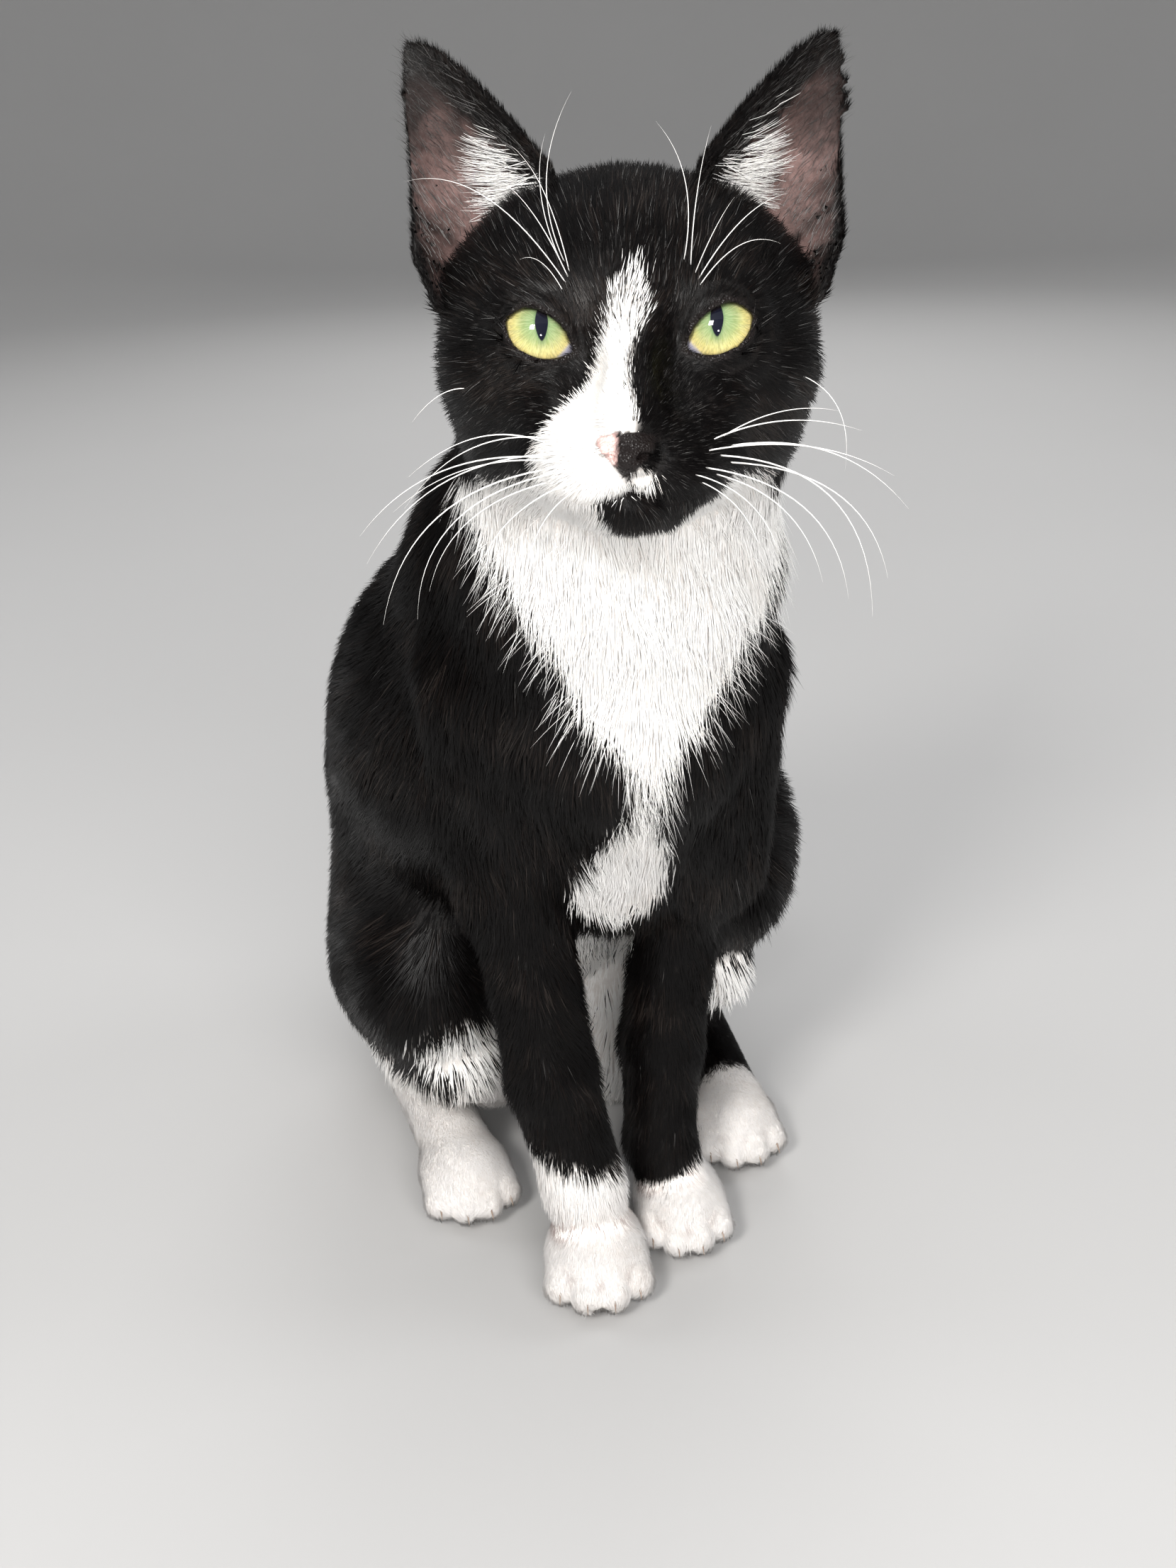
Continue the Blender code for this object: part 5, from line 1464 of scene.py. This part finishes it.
# ---------------------------------------------------------------- claws, just showing at the toes
bm = bmesh.new()
for key, paw in PAWS.items():
    for nm, limb in paw.items():
        if not nm.startswith("toe"):
            continue
        d = unit(limb.b - limb.a)
        flat = unit(np.array([d[0], d[1], 0.0]))
        base = limb.b + flat * (limb.rb - 2.6) + np.array([0, 0, 0.6])
        prev = None
        for i in range(5):
            f = i / 4
            c = base + flat * (0.9 + f * 3.6) + np.array([0, 0, -2.6 * f * f])
            r = 0.85 * (1 - 0.88 * f)
            t = unit(flat * 3.6 + np.array([0, 0, -5.2 * f]))
            sx = np.cross(t, [0, 0, 1.0])
            sx = unit(sx)
            sz = np.cross(sx, t)
            ring = [bm.verts.new(((c + sx * r * 0.62 * math.cos(q) + sz * r * math.sin(q) - ORIGIN) * MM).tolist())
                    for q in np.arange(8) * math.pi / 4]
            if prev:
                for q in range(8):
                    bm.faces.new((prev[q], prev[(q + 1) % 8], ring[(q + 1) % 8], ring[q]))
            prev = ring
        bm.faces.new(prev)
uvl = bm.loops.layers.uv.new("OFBake")
for f in bm.faces:
    f.smooth = True
    for l in f.loops:
        l[uvl].uv = ((l.vert.co.x * 3) % 1, (l.vert.co.y * 3 + l.vert.co.z * 9) % 1)
me = bpy.data.meshes.new("claws")
bm.to_mesh(me)
bm.free()
piece("claws", me, CLAW)


# ---------------------------------------------------------------- floor, light and camera
def stage_mesh(name, verts_, faces_, mat):
    me = bpy.data.meshes.new(name)
    me.from_pydata(verts_, [], faces_)
    me.materials.append(mat)
    ob = bpy.data.objects.new(name, me)
    bpy.context.scene.collection.objects.link(ob)
    return ob


FLOOR = plain("floor", (0.46, 0.455, 0.45), 0.75, 0.02, 3)
# a floor that sweeps up into a wall all round
profile = [(0.0, 0.0), (0.5, 0.0), (1.2, 0.0), (2.2, 0.0)]
profile += [(2.2 + 1.3 * math.sin(a), 1.3 - 1.3 * math.cos(a)) for a in np.linspace(0.1, math.pi / 2, 14)] + [(3.5, 3.4)]
AROUND = 72
ring = [(r * math.cos(a), r * math.sin(a), z - 0.0005) for r, z in profile[1:] for a in np.arange(AROUND) * 2 * math.pi / AROUND]
sweep_faces = [(0, 1 + i, 1 + (i + 1) % AROUND) for i in range(AROUND)]
for j in range(len(profile) - 2):
    for i in range(AROUND):
        a, b = 1 + j * AROUND + i, 1 + j * AROUND + (i + 1) % AROUND
        sweep_faces.append((a, a + AROUND, b + AROUND, b))
sweep = stage_mesh("floor", [(0, 0, -0.0005)] + ring, sweep_faces, FLOOR)
for f in sweep.data.polygons:
    f.use_smooth = True


def softbox(name, at, aim, size, power, colour=(1, 1, 1), mirrored=False):
    li = bpy.data.lights.new(name, "AREA")
    li.shape, li.size, li.size_y, li.energy, li.color = "RECTANGLE", size[0], size[1], power, colour
    ob = bpy.data.objects.new(name, li)
    bpy.context.scene.collection.objects.link(ob)
    ob.location = at
    ob.rotation_euler = (Vector(aim) - Vector(at)).to_track_quat("-Z", "Y").to_euler()
    ob.visible_glossy = mirrored               # only these show as spots in the eyes
    return ob


softbox("key", (-0.50, -1.30, 1.15), (0, 0, 0.2), (0.35, 0.35), 22, (1.0, 0.985, 0.96), True)
softbox("front", (0.35, -1.25, 0.75), (0, -0.05, 0.22), (0.6, 0.6), 11, (1.0, 0.99, 0.98))
softbox("low", (0.05, -1.25, 0.22), (0, -0.05, 0.16), (0.8, 0.35), 3, (1.0, 0.99, 0.98))
softbox("top", (0.1, 0.1, 1.8), (0, 0, 0.2), (1.0, 1.0), 9)
softbox("side_left", (1.6, 0.25, 0.8), (0, 0, 0.2), (0.8, 0.9), 10, (0.97, 0.98, 1.0))
softbox("side_right", (-1.6, 0.45, 0.8), (0, 0, 0.2), (0.8, 0.9), 9, (0.97, 0.98, 1.0))
softbox("back", (0.2, 1.8, 1.1), (0, 0, 0.2), (1.0, 0.8), 12)
softbox("catch", (0.03, -0.76, 0.46), (0.02, -0.2, 0.34), (0.035, 0.035), 0.45, (1, 1, 1), True)

world = bpy.data.worlds.new("studio")
world.use_nodes = True
world.node_tree.nodes["Background"].inputs["Color"].default_value = (0.95, 0.97, 1.0, 1)
world.node_tree.nodes["Background"].inputs["Strength"].default_value = 0.42
bpy.context.scene.world = world
bpy.context.scene.view_settings.view_transform = "Standard"

# the view: 0.42 m up, 0.62 m in front of the form's own zero, looking down at the cat and tilted a little
FOCAL, PICTURE = 2593.0, (1659, 2212)
PLUMB = (1084.0, 7077.0)                       # where plumb lines meet, in the picture's pixels
EYE_POINT = (np.array([0.0, -620.0, 422.0]) - ORIGIN) * MM
down = unit(np.array([PLUMB[0] - PICTURE[0] / 2, PLUMB[1] - PICTURE[1] / 2, FOCAL]))
ahead = unit(np.array([0.0, 0.0, 1.0]) - down * down[2])
R_CAM = np.stack([np.cross(ahead, -down), ahead, -down])
cam = bpy.data.cameras.new("view")
cam.sensor_fit = "AUTO"
cam.sensor_width = 36.0
cam.lens = FOCAL / max(PICTURE) * 36.0
cam.clip_start, cam.clip_end = 0.01, 50
ob = bpy.data.objects.new("view", cam)
bpy.context.scene.collection.objects.link(ob)
m = Matrix.Identity(4)
for r in range(3):
    m[r][0], m[r][1], m[r][2] = R_CAM[r][0], -R_CAM[r][1], -R_CAM[r][2]
    m[r][3] = EYE_POINT[r]
ob.matrix_world = m
bpy.context.scene.camera = ob
